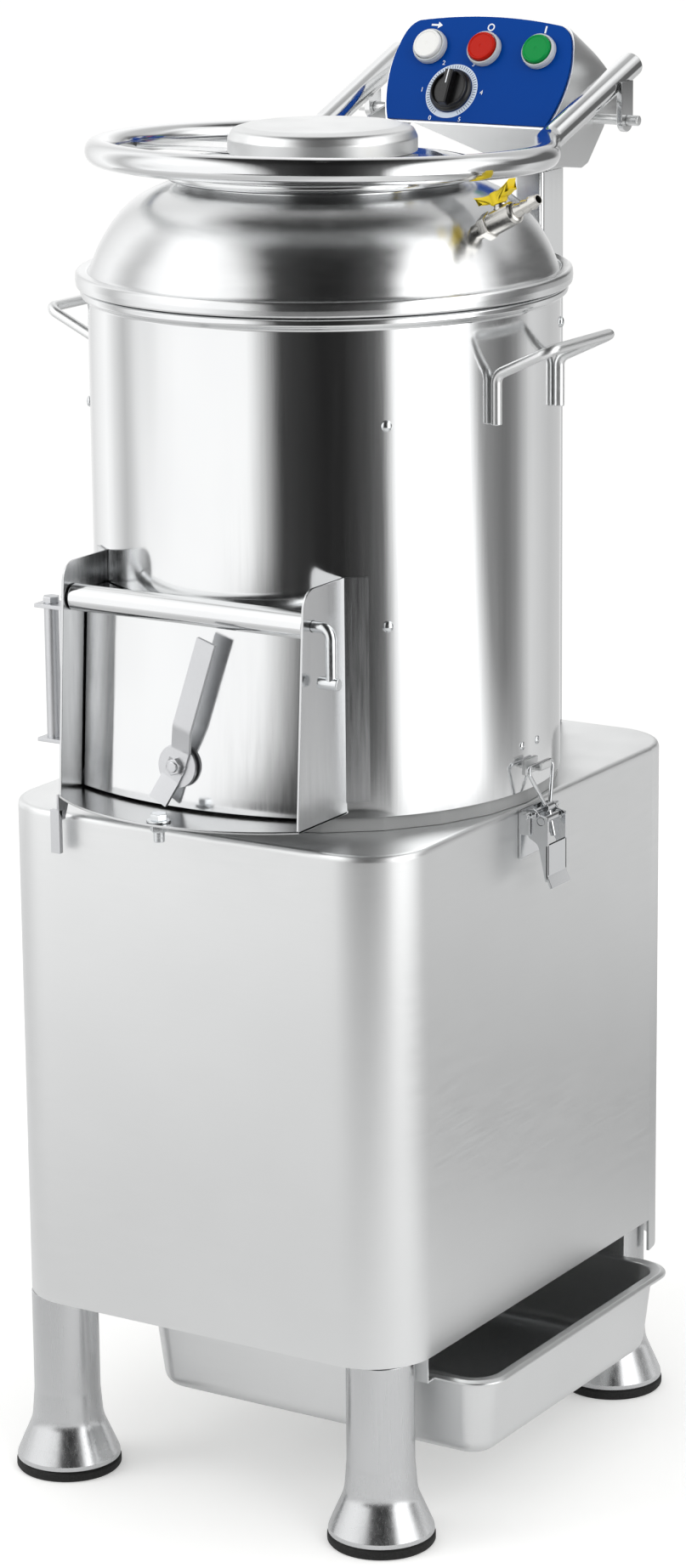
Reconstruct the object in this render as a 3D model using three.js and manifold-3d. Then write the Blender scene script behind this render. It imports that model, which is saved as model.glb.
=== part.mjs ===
// Floor-standing vegetable peeler: a steel cabinet on four bell-footed legs carries a lift-off barrel with
// a turning abrasive disc, a drop-out chute with a hinged door, a hinged lid under a hoop handle, a control
// head on a post and a catch tray that slides out to the right.
// Millimetres, +Z up, front of the machine towards -Y. The driving sizes are measured from the barrel's axis
// (X = Y = 0) and the floor (Z = 0); the last lines move the origin under the middle of the whole machine.

import * as THREE from 'three';
import { mergeVertices } from 'three/addons/utils/BufferGeometryUtils.js';
import Module from 'manifold-3d';

const wasm = await Module();
wasm.setup();

// Clearances shared by the whole machine
const seat = 0.3;          // face to face fit of pieces that are fastened together
const slack = 1.5;         // side clearance of panels that swing or slide
const overrun = 5;         // how far a cutter runs past what it cuts

// Cabinet
const cabinetWidth = 349;
const cabinetFront = 196;  // barrel axis to the front panel
const cabinetRear = 242;   // barrel axis to the rear panel
const cabinetBottom = 144.5;
const cabinetHeight = 388.5;
const cabinetCorner = 50;
const cabinetSheet = 2;
const cabinetLip = 18;
const rearSkirtDrop = 26;
const rearSkirtReturn = 49;
const cornerPlate = 84;
const serviceSide = 56.5;  // cabinet's side to the service opening
const serviceHeight = 270;
const serviceSill = 70;
const coverLap = 14;
const coverSheet = 1.5;
const louvreWidth = 76;
const louvreSlot = 6;
const louvrePitch = 20;
const louvreCount = 5;
const glandHole = 7;
const glandSide = 70;
const glandRise = 36;
const cabinetSide = cabinetWidth / 2;
const cabinetTop = cabinetBottom + cabinetHeight;
const serviceWidth = cabinetWidth - 2 * serviceSide;

// Legs and feet
const legTube = 25.5;
const legWall = 1.5;
const legBell = 40;
const legBellHeight = 31;
const legBellWaist = 14;
const legBellWaistRadius = 30;
const legPlug = 12;
const legInset = 32.9;     // cabinet's side to a leg's axis
const legFrontInset = 31.2;
const legRearInset = 49.4;
const padRadius = 40.5;
const padHeight = 8;
const padEdge = 1.5;
const legSide = cabinetSide - legInset;
const legFront = cabinetFront - legFrontInset;
const legRear = cabinetRear - legRearInset;

// Catch tray and its runners
const trayLength = 322;
const trayOverhang = 42.5; // how far the tray's right rim stands out of the cabinet's side at rest
const trayHang = 19.5;     // cabinet's foot to the tray's rim
const trayDepth = 67;
const trayCorner = 34;
const trayRim = 9;
const trayRimThick = 3.5;
const traySheet = 1.5;
const trayDraft = 6;
const trayBottomRound = 18;
const runnerSheet = 1.5;
const runnerLedge = 11;
const trayOut = cabinetSide + trayOverhang;
const trayRimZ = cabinetBottom - trayHang;

// Barrel, its lining and what seals it to the deck
const barrelOverhang = 0.5;  // how far the barrel stands out past the cabinet's side
const barrelWall = 2;
const barrelHeight = 364.8;
const barrelBead = 5.5;
const barrelBeadHeight = 5;
const seatRingWidth = 15;
const seatRingHeight = 10.1;
const linerThickness = 8;
const linerGap = 0.9;
const linerRise = 36.3;      // barrel's foot to the lining's foot
const linerDrop = 18.5;      // barrel's rim to the lining's head
const outletSide = 7;        // chute's side to the outlet's
const outletStep = 6;        // chute's floor to the outlet's sill
const outletHeight = 134;
const deckLedge = 25;        // barrel's side to the deck's hole
const barrelRadius = cabinetSide + barrelOverhang;
const barrelBase = cabinetTop + seatRingHeight + 2 * seat;
const barrelTop = barrelBase + barrelHeight;
const cabinetDeckHole = barrelRadius - deckLedge;
const linerBottom = barrelBase + linerRise;
const linerTop = barrelTop - linerDrop;

// Dome cover and lid
const domeWall = 2;
const domeFlange = 9;
const domeFlangeHeight = 11.5;
const domeHeight = 64;
const domeShoulder = 73.5;   // barrel's side to the mouth's
const domeLip = 3;
const domeRiseShares = [0.1, 0.3, 0.56, 0.78, 0.93, 0.985];
const domeReachShares = [0.97, 0.89, 0.74, 0.54, 0.28, 0.06];
const lidOverlap = 11;
const lidRimTube = 5;
const lidSinkShare = 0.8;
const lidRimStart = 150;     // degrees round the rolled rim
const lidRimStep = 70;
const lidSheet = 2.5;
const lidCrown = 13;
const lidSlope = 24.5;
const lidSlopeShares = [0.4, 0.65];
const lidFallShares = [0.2, 0.5];
const lidCollarInset = 4.5;
const lidCollarDepth = 9;
const lidCollarWall = 2;
const capMargin = 18;
const capHeight = 19.2;
const capSheet = 2.5;
const capEdge = 10;
const capEdgeShare = 0.6;
const capBoss = 8;
const domeMouth = barrelRadius - domeShoulder;
const lidRimRadius = domeMouth + lidOverlap;
const lidCrownRadius = lidRimRadius - lidSlope;
const lidCollarRadius = domeMouth - lidCollarInset;
const capRadius = lidCrownRadius - capMargin;

// Post and control head
const postSide = 47.5;
const postWidth = 25;
const postDepth = 35;
const postBack = 200;
const postWall = 2;
const panelSetback = 8;    // post's front to the panel's foot
const panelRise = 94.5;    // barrel's rim to the panel's foot
const panelTilt = 29;      // degrees back from upright
const panelHeight = 92;
const panelFootHalf = 72;
const panelWaistHalf = 80.5;
const panelThickness = 2;
const panelBorder = 1.8;
const panelBulgeShares = [0.99, 1.04, 0.97];
const panelBulgeRiseShares = [0.2, 0.5, 0.7];
const panelShoulderShare = 0.93;
const panelShoulderRiseShare = 0.9;
const panelCrownShare = 0.9;
const panelCrownFootShare = 0.94;
const panelCrownRiseShare = 1.055;
const headSheet = 2;
const headDepth = 112;
const headDepthShares = [1, 0.96, 0.82, 0.46, 0.3];
const headRiseShares = [0, 0.2, 0.42, 0.86, 1];
const apronDrop = 31;
const apronDepth = 28;
const apronShare = 0.7;    // how far left the apron starts, as a share of the panel's half width at its foot
const panelBack = postBack + panelSetback;
const panelFoot = barrelTop + panelRise;

// Hoop handle and its hinge
const hoopInset = 10;      // barrel's side to the hoop's centre line
const hoopTube = 9.75;
const hoopRise = 96.3;     // barrel's rim to the hoop's centre line beside the barrel axis
const hoopFall = 0.031;    // how much the hoop drops for each millimetre towards the rear, as a slope
const hoopBendSide = 101;
const hoopBendAhead = 101; // hinge axis to the hoop's bend
const hoopEndSide = 104;
const hoopEndBehind = 28;  // hinge axis to the tip of an arm
const hoopEndRise = 40;
const strapWidth = 30;
const strapThickness = 4;
const pivotSetback = 48;   // panel's foot to the hinge axis
const pivotRise = 5;
const pivotPin = 4;
const lugThickness = 5;
const lugRadius = 9;
const lugShare = 0.7;      // where the lug starts, as a share of the hoop's tube
const bracketPlate = 3;
const bracketGap = 3.5;    // control head's side to a bracket
const bracketReach = 75;
const bracketDrop = 36;
const bracketReachShares = [-1, -0.79, -0.27, -0.13, 0.21, 0.21, 0.08, -0.68];
const bracketDropShares = [-0.64, -0.86, -1, -0.92, -0.19, 0.17, 0.33, -0.03];
const hoopRadius = barrelRadius - hoopInset;
const hoopLevel = barrelTop + hoopRise;
const pivotBack = panelBack + pivotSetback;
const pivotZ = panelFoot + pivotRise;
const hoopBendBack = pivotBack - hoopBendAhead;
const hoopEndBack = pivotBack + hoopEndBehind;
const hoopEndZ = pivotZ + hoopEndRise;
const bracketSide = panelWaistHalf + bracketGap;

// Buttons and timer, placed on the panel from its foot and its middle line
const buttonPitch = 48.5;
const buttonShift = 1.6;
const buttonRise = 62;
const bezelRadius = 14;
const bezelBore = 10.8;
const bezelHeight = 6.5;
const bezelWallShare = 0.7;
const bezelStem = 9.5;
const bezelStemLength = 18;
const stemBore = 7.2;
const capFace = 10.3;
const capStand = 9.5;
const capTravel = 3;
const capStem = 6.6;
const dialSide = -18.8;
const dialRise = 26.6;
const knobSkirt = 17.5;
const knobHeight = 15;
const knobGrip = 7;
const knobSkirtHeight = 4;
const knobTaperShares = [0.84, 0.8];
const knobGripShare = 0.72;
const knobSpindle = 3;
const knobSpindleLength = 14;

// Water valve on the dome
const valveAzimuth = 78;   // degrees from the front towards the right
const valveTilt = 26;      // degrees above level
const valveInset = 19;     // barrel's side to where the valve leaves the dome
const valveRise = 50.9;    // barrel's rim to the same place
const valveNipple = 6;
const valveNut = 10;
const valveBody = 8.5;
const valveBodyLength = 25;
const valveNutLength = 8;
const valveNutSides = 6;
const barbRadius = 5.2;
const barbLength = 23;
const barbCount = 3;
const barbShare = 0.9;
const barbBore = 3;
const wingLength = 38;
const wingWidth = 9;
const wingHeight = 9;
const wingDipShare = 0.6;
const wingStem = 3.2;
const valveReach = barrelRadius - valveInset;
const valveZ = barrelTop + valveRise;

// Outlet chute, door and lever
const chuteInset = 71;     // barrel's side to the chute's
const chuteSheet = 2;
const chuteRise = 6.3;     // barrel's foot to the chute's floor
const chuteHeight = 172;
const chuteOut = 23;       // barrel's front to the chute's upper edge
const chuteLean = 10;
const chuteBow = 35;
const chuteFlange = 13;
const chuteCorner = 14;
const hingeOut = 11;
const hingeDrop = 27;
const sleeveRadius = 10;
const hingeRod = 4;
const rodFit = 0.3;
const doorSheet = 2.5;
const doorLift = 2;
const doorFootOut = 25;
const doorHeadOut = 15;
const doorPlanRadius = 265;
const webThickness = 2;
const crankOut = 15;
const crankDrop = 40;
const crankKnob = 4.5;
const crankKnobLength = 17;
const crankKnobShare = 0.6;
const nutRadius = 6.5;
const nutHeight = 5;
const nutSides = 6;
const leverSide = -3;
const leverRise = 31;
const leverLength = 100;
const leverWidth = 16;
const leverSheet = 3;
const leverLean = 17;      // degrees
const leverLift = 12;
const leverStepShares = [0.8, 1.9];
const leverDisc = 16;
const leverTail = 30;
const strikerSide = 2;
const strikerInset = 9;
const strikerBolt = 4;
const strikerHead = 6.5;
const strikerWasher = 9;
const strikerHang = 15;
const chuteHalf = barrelRadius - chuteInset;
const chuteFloor = barrelBase + chuteRise;
const chuteTop = chuteFloor + chuteHeight;
const chuteTopReach = barrelRadius + chuteOut;
const chuteFootReach = chuteTopReach + chuteLean;
const chuteFloorReach = chuteFootReach + chuteBow;
const hingeReach = barrelRadius + hingeOut;
const hingeZ = chuteTop - hingeDrop;
const doorFoot = chuteFloor + doorLift;
const doorFootReach = barrelRadius + doorFootOut;
const doorHeadReach = barrelRadius + doorHeadOut;
const crankSide = chuteHalf + crankOut;
const leverZ = doorFoot + leverRise;
const strikerReach = chuteFloorReach - strikerInset;
const outletHalfWidth = chuteHalf - outletSide;
const outletSill = chuteFloor + outletStep;
const outletHead = outletSill + outletHeight;

// Stay bar on the chute's left side
const stayOut = 22;
const stayRod = 5.5;
const stayHeadDrop = 11;
const stayFootRise = 33;
const stayLug = 3;
const stayLugReach = 9;
const stayStrip = 16;
const stripDrop = 20;
const tailStrap = 8;
const tailStrapLength = 25;
const staySide = chuteHalf + stayOut;
const stayTopZ = hingeZ - stayHeadDrop;
const stayFootZ = chuteFloor + stayFootRise;
const stripFoot = chuteFloor - stripDrop;
const tailStrapFoot = stripFoot - tailStrapLength;

// Side handles
const handleRod = 4;
const handleSpan = 92;
const handleDrop = 85.5;   // barrel's rim to the foot of a handle
const handleFoot = 36;
const handleOut = 45;
const handleUp = 21;
const handleBend = 9;
const handleFootZ = barrelTop - handleDrop;
const handleBendZ = handleFootZ + handleFoot;

// Toggle latches
const latchStandoff = 9.5; // cabinet's side to a latch's pivot
const latchDrop = 2;       // deck to the top of a latch's base
const latchBaseHalf = 17;
const latchBaseHeight = 37;
const latchSheet = 2;
const latchPin = 2.5;
const latchPinHalf = 24;
const leverCheekHalf = 14.2;
const latchLeverLength = 51;
const latchWindow = 25;
const latchWebOut = 14;
const latchTipShare = 0.7;
const trunnionReach = 9.2;
const trunnionAngle = 60;  // degrees from straight down, outwards
const trunnionRadius = 3;
const tieRod = 2.2;
const tieRodTail = 14;
const bailWire = 1.5;
const bailWireSides = 6;
const bailHalf = 20;
const bailNut = 3.4;
const bailNutHalf = 5;
const bailNeckShare = 0.2;
const bailShoulderShare = 0.55;
const bailSeatShare = 0.62; // where the wire sits on the strike's ledge
const strikeHalf = 13;
const strikeRise = 16.3;   // barrel's foot to the strike's ledge
const strikeHeight = 25;
const strikeLedge = 9.5;
const strikeLip = 4;
const strikeSheet = 2;
const latchPivotSide = cabinetSide + latchStandoff;
const latchPivotZ = cabinetTop - latchDrop;
const latchBaseFoot = latchPivotZ - latchBaseHeight;
const latchLeverFoot = latchPivotZ - latchLeverLength;
const latchWindowFoot = latchPivotZ - latchWindow;
const latchWebSide = latchPivotSide + latchWebOut;
const strikeFoot = barrelBase + strikeRise;
const strikeHead = strikeFoot + strikeHeight;

// Drive train and drain, all inside the cabinet
const panGap = 4;
const panSheet = 1.5;
const panDepth = 27;
const panFlange = 9;
const spoutAzimuth = 50;
const spoutInset = 31;
const spoutRadius = 19;
const spoutDrop = 12.5;    // cabinet's foot to the spout's
const housingRadius = 36;
const housingBore = 30;
const housingLength = 190;
const housingDrop = 5;
const housingFlange = 60;
const housingFlangeHeight = 7;
const housingLip = 6;
const shaftRadius = 12.5;
const shaftTail = 19;
const shaftFit = 0.3;
const bearingHeight = 15;
const bearingInset = 8;
const discMargin = 15;
const discRise = 12.3;     // barrel's foot to the disc's underside
const discThickness = 7;
const discWave = 11;
const discWaves = 4;
const discSwellShares = [0.2, 0.34, 0.52, 0.72, 0.88, 0.97, 1];
const discHeightShares = [0, 0.55, 1, 1, 0.7, 0.25, 0];
const discHub = 26;
const discHubHeight = 22;
const paddleThickness = 5;
const paddleInner = 54;
const paddleGap = 8;
const paddleFloorGap = 3;
const lockNutRadius = 20;
const lockNutHeight = 17;
const lockNutRadiusShares = [0.82, 0.4];
const lockNutRiseShare = 0.75;
const beltDrop = 35;       // housing's foot to the belt's middle
const beltWidth = 12;
const beltDepth = 9;
const grooveDepth = 12;
const grooveFloorGap = 2;
const pulleyHeight = 24;
const bigPulley = 92;
const pulleyHub = 24;
const pulleyHoles = 5;
const pulleyHoleRadius = 15;
const motorInset = 77;     // rear panel to the motor's axis
const motorRadius = 60;
const motorRise = 32;      // belt's middle to the motor's foot
const motorLength = 159;
const motorPulley = 27;
const motorShaft = 8;
const motorRib = 2;
const motorRibs = 12;
const motorBoss = 20;
const motorPlate = 4;
const motorBracketHalf = 78;
const panRadius = cabinetDeckHole - panGap;
const spoutReach = panRadius - spoutInset;
const spoutFoot = cabinetBottom - spoutDrop;
const housingTop = cabinetTop - housingDrop;
const housingFoot = housingTop - housingLength;
const beltZ = housingFoot - beltDrop;
const shaftFoot = beltZ - shaftTail;
const discRadius = barrelRadius - discMargin;
const discBottom = barrelBase + discRise;
const discHubTop = discBottom + discHubHeight;
const paddleOuter = panRadius - paddleGap;
const motorBack = cabinetRear - motorInset;
const motorFoot = beltZ + motorRise;
const motorTop = motorFoot + motorLength;

// Facets, and the steps along a curve
const fullTurn = 40;
const innerTurn = 24;
const midTurn = 20;
const smallTurn = 12;
const tinyTurn = 8;
const panelSteps = 6;

// A faceted bore that a faceted shaft can turn in: its flats stay outside the shaft's corners
const turningBore = (shaft, fit, facets) => shaft / Math.cos(Math.PI / facets) + fit;

// Finishes
const finish = (color, roughness, metalness) => () =>
  new THREE.MeshStandardMaterial({ color, roughness, metalness });
const satinSteel = finish(0xc9cbcc, 0.42, 1);
const polishedSteel = finish(0xd9dadb, 0.14, 1);
const brushedSteel = finish(0xb4b5b4, 0.34, 1);
const zincSteel = finish(0xbfc3c6, 0.38, 1);
const castMetal = finish(0x5b6063, 0.6, 0.8);
const motorPaint = finish(0x4a6076, 0.5, 0.2);
const blackRubber = finish(0x151515, 0.75, 0);
const blackPlastic = finish(0x121212, 0.35, 0);
const bluePanel = finish(0x05409a, 0.38, 0);
const abrasive = finish(0x4a4744, 0.95, 0);
const clearPlastic = finish(0xd4d8da, 0.25, 0);
const whitePlastic = finish(0xf4f4f2, 0.3, 0);
const redPlastic = finish(0xc8220f, 0.3, 0);
const greenPlastic = finish(0x0b9447, 0.3, 0);
const yellowPlastic = finish(0xf3d51c, 0.4, 0);

// Closed three.js shapes become solids that can be joined and cut
const signedVolume = (position, index) => {
  const a = new THREE.Vector3();
  const b = new THREE.Vector3();
  const c = new THREE.Vector3();
  let volume = 0;
  for (let i = 0; i < index.length; i += 3) {
    a.fromBufferAttribute(position, index[i]);
    b.fromBufferAttribute(position, index[i + 1]);
    c.fromBufferAttribute(position, index[i + 2]);
    volume += a.dot(b.cross(c));
  }
  return volume;
};

const weld = 1e-4;
const solid = (geometry) => {
  const bare = new THREE.BufferGeometry();
  bare.setAttribute('position', geometry.getAttribute('position').clone());
  if (geometry.index) bare.setIndex(geometry.index.clone());
  const merged = mergeVertices(bare, weld);
  const position = merged.getAttribute('position');
  const corners = merged.index.array;
  const kept = [];
  for (let i = 0; i < corners.length; i += 3) {
    const [p, q, r] = [corners[i], corners[i + 1], corners[i + 2]];
    if (p !== q && q !== r && r !== p) kept.push(p, q, r);
  }
  if (signedVolume(position, kept) < 0) {
    for (let i = 0; i < kept.length; i += 3) [kept[i], kept[i + 1]] = [kept[i + 1], kept[i]];
  }
  const mesh = new wasm.Mesh({
    numProp: 3,
    vertProperties: Float32Array.from(position.array),
    triVerts: Uint32Array.from(kept),
  });
  return new wasm.Manifold(mesh);
};

const join = (...pieces) => pieces.reduce((whole, piece) => whole.add(piece));
const cut = (whole, ...cutters) => cutters.reduce((rest, cutter) => rest.subtract(cutter), whole);
const common = (first, second) => first.intersect(second);

const geometryOf = (piece) => {
  const mesh = piece.getMesh();
  const geometry = new THREE.BufferGeometry();
  geometry.setAttribute('position', new THREE.Float32BufferAttribute(mesh.vertProperties, mesh.numProp));
  geometry.setIndex(Array.from(mesh.triVerts));
  geometry.computeVertexNormals();
  return geometry;
};

const part = (name, piece, material) => {
  const mesh = new THREE.Mesh(geometryOf(piece), material());
  mesh.name = name;
  return mesh;
};

// Basic shapes, each placed as it is made
const block = (low, high) => {
  const size = high.map((value, axis) => value - low[axis]);
  const middle = high.map((value, axis) => (value + low[axis]) / 2);
  return solid(new THREE.BoxGeometry(...size).translate(...middle));
};

const turned = (profile, facets) => {
  const points = profile.map(([radius, z]) => new THREE.Vector2(radius, z));
  return solid(new THREE.LatheGeometry(points, facets).rotateX(Math.PI / 2));
};

const ring = (inner, outer, bottom, top, facets) =>
  turned([[inner, bottom], [outer, bottom], [outer, top], [inner, top], [inner, bottom]], facets);

const drum = (radius, bottom, top, facets) =>
  turned([[0, bottom], [radius, bottom], [radius, top], [0, top]], facets);

const rodBetween = (from, to, radius, facets) => {
  const start = new THREE.Vector3(...from);
  const end = new THREE.Vector3(...to);
  const along = end.clone().sub(start);
  const upright = new THREE.Vector3(0, 1, 0);
  const turn = new THREE.Quaternion().setFromUnitVectors(upright, along.clone().normalize());
  const middle = start.add(end).multiplyScalar(1 / 2);
  const geometry = new THREE.CylinderGeometry(radius, radius, along.length(), facets);
  return solid(geometry.applyQuaternion(turn).translate(middle.x, middle.y, middle.z));
};

const extruded = (outline, from, to, bendSteps = tinyTurn) => {
  const shape = outline instanceof THREE.Shape ? outline : new THREE.Shape(outline);
  const options = { depth: to - from, bevelEnabled: false, curveSegments: bendSteps };
  return new THREE.ExtrudeGeometry(shape, options).translate(0, 0, from);
};

// A plate whose outline is drawn in Y and Z, as thick as the stretch of X it covers
const sidePlate = (points, from, to) => {
  const outline = points.map(([y, z]) => new THREE.Vector2(y, z));
  const geometry = extruded(outline, from, to);
  const axes = new THREE.Matrix4().set(0, 0, 1, 0, 1, 0, 0, 0, 0, 1, 0, 0, 0, 0, 0, 1);
  return solid(geometry.applyMatrix4(axes));
};

// A closed skin through a stack of outlines with equal counts of points, capped at both ends
const lofted = (rings) => {
  const count = rings[0].length;
  const middleOf = (points) =>
    points.reduce((sum, point) => sum.add(point), new THREE.Vector3()).divideScalar(points.length);
  const points = rings.flat();
  const first = points.push(middleOf(rings[0])) - 1;
  const last = points.push(middleOf(rings[rings.length - 1])) - 1;
  const index = [];
  for (let level = 0; level + 1 < rings.length; level += 1) {
    for (let i = 0; i < count; i += 1) {
      const a = level * count + i;
      const b = level * count + ((i + 1) % count);
      index.push(a, b, b + count, a, b + count, a + count);
    }
  }
  const top = (rings.length - 1) * count;
  for (let i = 0; i < count; i += 1) {
    const next = (i + 1) % count;
    index.push(first, next, i);
    index.push(last, top + i, top + next);
  }
  const geometry = new THREE.BufferGeometry().setFromPoints(points);
  geometry.setIndex(index);
  return solid(geometry);
};

// A plate whose outline is drawn in X and Z, as thick as the stretch of Y it covers
const frontPlate = (points, from, to) => {
  const outline = points.map(([x, z]) => new THREE.Vector2(x, z));
  return solid(extruded(outline, -to, -from).rotateX(Math.PI / 2));
};

// A bent rod or tube through a list of places, its sides kept in line from one end to the other
const bentRod = (route, radius, sides, side) => {
  const across = side.clone();
  return lofted(route.map((point, i) => {
    const from = route[Math.max(i - 1, 0)];
    const to = route[Math.min(i + 1, route.length - 1)];
    const along = to.clone().sub(from).normalize();
    across.addScaledVector(along, -across.dot(along)).normalize();
    const upward = along.clone().cross(across);
    const outline = [];
    for (let k = 0; k < sides; k += 1) {
      const angle = (2 * Math.PI * k) / sides;
      const offset = across.clone().multiplyScalar(Math.cos(angle)).addScaledVector(upward, Math.sin(angle));
      outline.push(point.clone().addScaledVector(offset, radius));
    }
    return outline;
  }));
};

// The corners of a route, each rounded into a short curve
const rounded = (corners, bend, steps) => {
  const route = [corners[0]];
  for (let i = 1; i < corners.length - 1; i += 1) {
    const before = corners[i - 1].clone().sub(corners[i]).normalize().multiplyScalar(bend).add(corners[i]);
    const after = corners[i + 1].clone().sub(corners[i]).normalize().multiplyScalar(bend).add(corners[i]);
    route.push(...new THREE.QuadraticBezierCurve3(before, corners[i], after).getPoints(steps));
  }
  route.push(corners[corners.length - 1]);
  return route;
};

const roundedRing = (low, high, radius, z, steps) => {
  const points = [];
  const corners = [[high[0], high[1], 0], [low[0], high[1], 1], [low[0], low[1], 2], [high[0], low[1], 3]];
  for (const [x, y, quarter] of corners) {
    const cx = x + (x === high[0] ? -radius : radius);
    const cy = y + (y === high[1] ? -radius : radius);
    for (let i = 0; i <= steps; i += 1) {
      const angle = ((quarter + i / steps) * Math.PI) / 2;
      points.push(new THREE.Vector3(cx + radius * Math.cos(angle), cy + radius * Math.sin(angle), z));
    }
  }
  return points;
};

const roundedPrism = (low, high, radius, from, to, steps) =>
  lofted([roundedRing(low, high, radius, from, steps), roundedRing(low, high, radius, to, steps)]);

const radians = THREE.MathUtils.degToRad;

// Cabinet: one wrapped sheet with rounded upright corners, folded lips below and a deeper skirt at the rear
const cornerSteps = 4;
const cabinetOutline = (inset, from, to) => {
  const half = cabinetWidth / 2 - inset;
  const low = [-half, inset - cabinetFront];
  const high = [half, cabinetRear - inset];
  return roundedPrism(low, high, cabinetCorner - inset, from, to, cornerSteps);
};

const serviceFoot = cabinetBottom + serviceSill;
const serviceOpening = () => {
  const half = serviceWidth / 2;
  const low = [-half, cabinetRear - cabinetSheet - overrun, serviceFoot];
  return block(low, [half, cabinetRear + overrun, serviceFoot + serviceHeight]);
};

const cabinetShell = () => {
  const skirtFoot = cabinetBottom - rearSkirtDrop;
  const skin = cut(
    cabinetOutline(0, skirtFoot, cabinetTop),
    cabinetOutline(cabinetSheet, skirtFoot - overrun, cabinetTop - cabinetSheet),
  );
  const half = cabinetWidth / 2 + overrun;
  const skirtStart = cabinetRear - rearSkirtReturn;
  const underCorner = [-half, -cabinetFront - overrun, skirtFoot - overrun];
  const underSides = block(underCorner, [half, skirtStart, cabinetBottom]);
  const lipTop = cabinetBottom + cabinetSheet;
  const lips = cut(
    cabinetOutline(cabinetSheet / 2, cabinetBottom, lipTop),
    cabinetOutline(cabinetSheet + cabinetLip, cabinetBottom - overrun, lipTop + overrun),
  );
  const inner = cabinetWidth / 2 - cabinetSheet / 2;
  const plates = [];
  for (const side of [-1, 1]) {
    for (const end of [-cabinetFront, cabinetRear - cornerPlate]) {
      const x = side < 0 ? -inner : inner - cornerPlate;
      plates.push(block([x, end, cabinetBottom], [x + cornerPlate, end + cornerPlate, lipTop]));
    }
  }
  const cornerPlates = common(join(...plates), cabinetOutline(cabinetSheet / 2, cabinetBottom, lipTop));
  const deckHole = drum(cabinetDeckHole, cabinetTop - overrun, cabinetTop + overrun, fullTurn);
  return cut(join(cut(skin, underSides), lips, cornerPlates), deckHole, serviceOpening());
};

// Rear cover: a flat service panel over the opening, with two rows of cooling slots and a hole for the cable
const coverFace = cabinetRear + seat;
const glandZ = serviceFoot + glandRise;
const rearCover = () => {
  const half = serviceWidth / 2 + coverLap;
  const foot = serviceFoot - coverLap;
  const head = serviceFoot + serviceHeight + coverLap;
  const plate = block([-half, coverFace, foot], [half, coverFace + coverSheet, head]);
  const slots = [];
  for (const side of [-1, 1]) {
    for (let row = 0; row < louvreCount; row += 1) {
      const middle = (side * serviceWidth) / 4;
      const z = head - coverLap - louvrePitch * (row + 1);
      const low = [middle - louvreWidth / 2, coverFace - overrun, z - louvreSlot];
      slots.push(block(low, [middle + louvreWidth / 2, coverFace + coverSheet + overrun, z]));
    }
  }
  const cableHole = rodBetween(
    [-glandSide, coverFace - overrun, glandZ],
    [-glandSide, coverFace + coverSheet + overrun, glandZ],
    glandHole,
    smallTurn,
  );
  return cut(plate, ...slots, cableHole);
};

// Legs: steel tube swaged out to a bell at the floor, open at the top under the cabinet's corner plate
const legTop = cabinetBottom - seat;
const legSolid = () => {
  const foot = padHeight + seat;
  const bellTop = foot + legBellHeight;
  return turned([
    [0, foot],
    [legBell, foot],
    [legBell, foot + padEdge],
    [legTube, bellTop],
    [legTube, legTop],
    [legTube - legWall, legTop],
    [legTube - legWall, foot + legPlug],
    [0, foot + legPlug],
  ], midTurn);
};

const padSolid = () => turned([
  [0, 0],
  [padRadius - padEdge, 0],
  [padRadius, padEdge],
  [padRadius, padHeight - padEdge],
  [padRadius - padEdge, padHeight],
  [0, padHeight],
], midTurn);

const legs = () => {
  const group = new THREE.Group();
  for (const [side, x] of [['left', -legSide], ['right', legSide]]) {
    for (const [end, y] of [['front', -legFront], ['rear', legRear]]) {
      const leg = part(`leg_${end}_${side}`, legSolid(), brushedSteel);
      const pad = part(`foot_pad_${end}_${side}`, padSolid(), blackRubber);
      leg.position.set(x, y, 0);
      pad.position.set(x, y, 0);
      group.add(leg, pad);
    }
  }
  return group;
};

// Catch tray: a pressed pan with drafted walls and a rolled rim that rides on two ledges between the legs
const runnerFront = -legFront + legTube + seat;
const runnerRear = legRear - legTube - seat;
const trayFront = runnerFront + runnerSheet + slack + trayRim / 4;
const trayBack = runnerRear - runnerSheet - slack - trayRim / 4;
const trayRimFoot = trayRimZ - trayRimThick;
const catchTray = () => {
  const low = [trayOut - trayLength, trayFront];
  const high = [trayOut, trayBack];
  const floor = trayRimZ - trayDepth;
  const at = (inset, z) => {
    const radius = Math.max(trayCorner - inset / 2, traySheet);
    const from = low.map((value) => value + inset);
    const to = high.map((value) => value - inset);
    return roundedRing(from, to, radius, z, cornerSteps);
  };
  const wallFoot = trayRim + trayDraft;
  const shoulder = trayBottomRound / 3;
  return lofted([
    at(wallFoot + trayBottomRound, floor),
    at(wallFoot + shoulder, floor + shoulder / 2),
    at(wallFoot, floor + trayBottomRound),
    at(trayRim, trayRimFoot),
    at(traySheet / 2, trayRimFoot),
    at(0, trayRimZ - trayRimThick / 2),
    at(traySheet / 2, trayRimZ),
    at(trayRim + traySheet, trayRimZ),
    at(wallFoot + traySheet, floor + trayBottomRound + traySheet / 2),
    at(wallFoot + shoulder + traySheet, floor + shoulder / 2 + traySheet),
    at(wallFoot + trayBottomRound + traySheet, floor + traySheet),
  ]);
};

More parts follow.
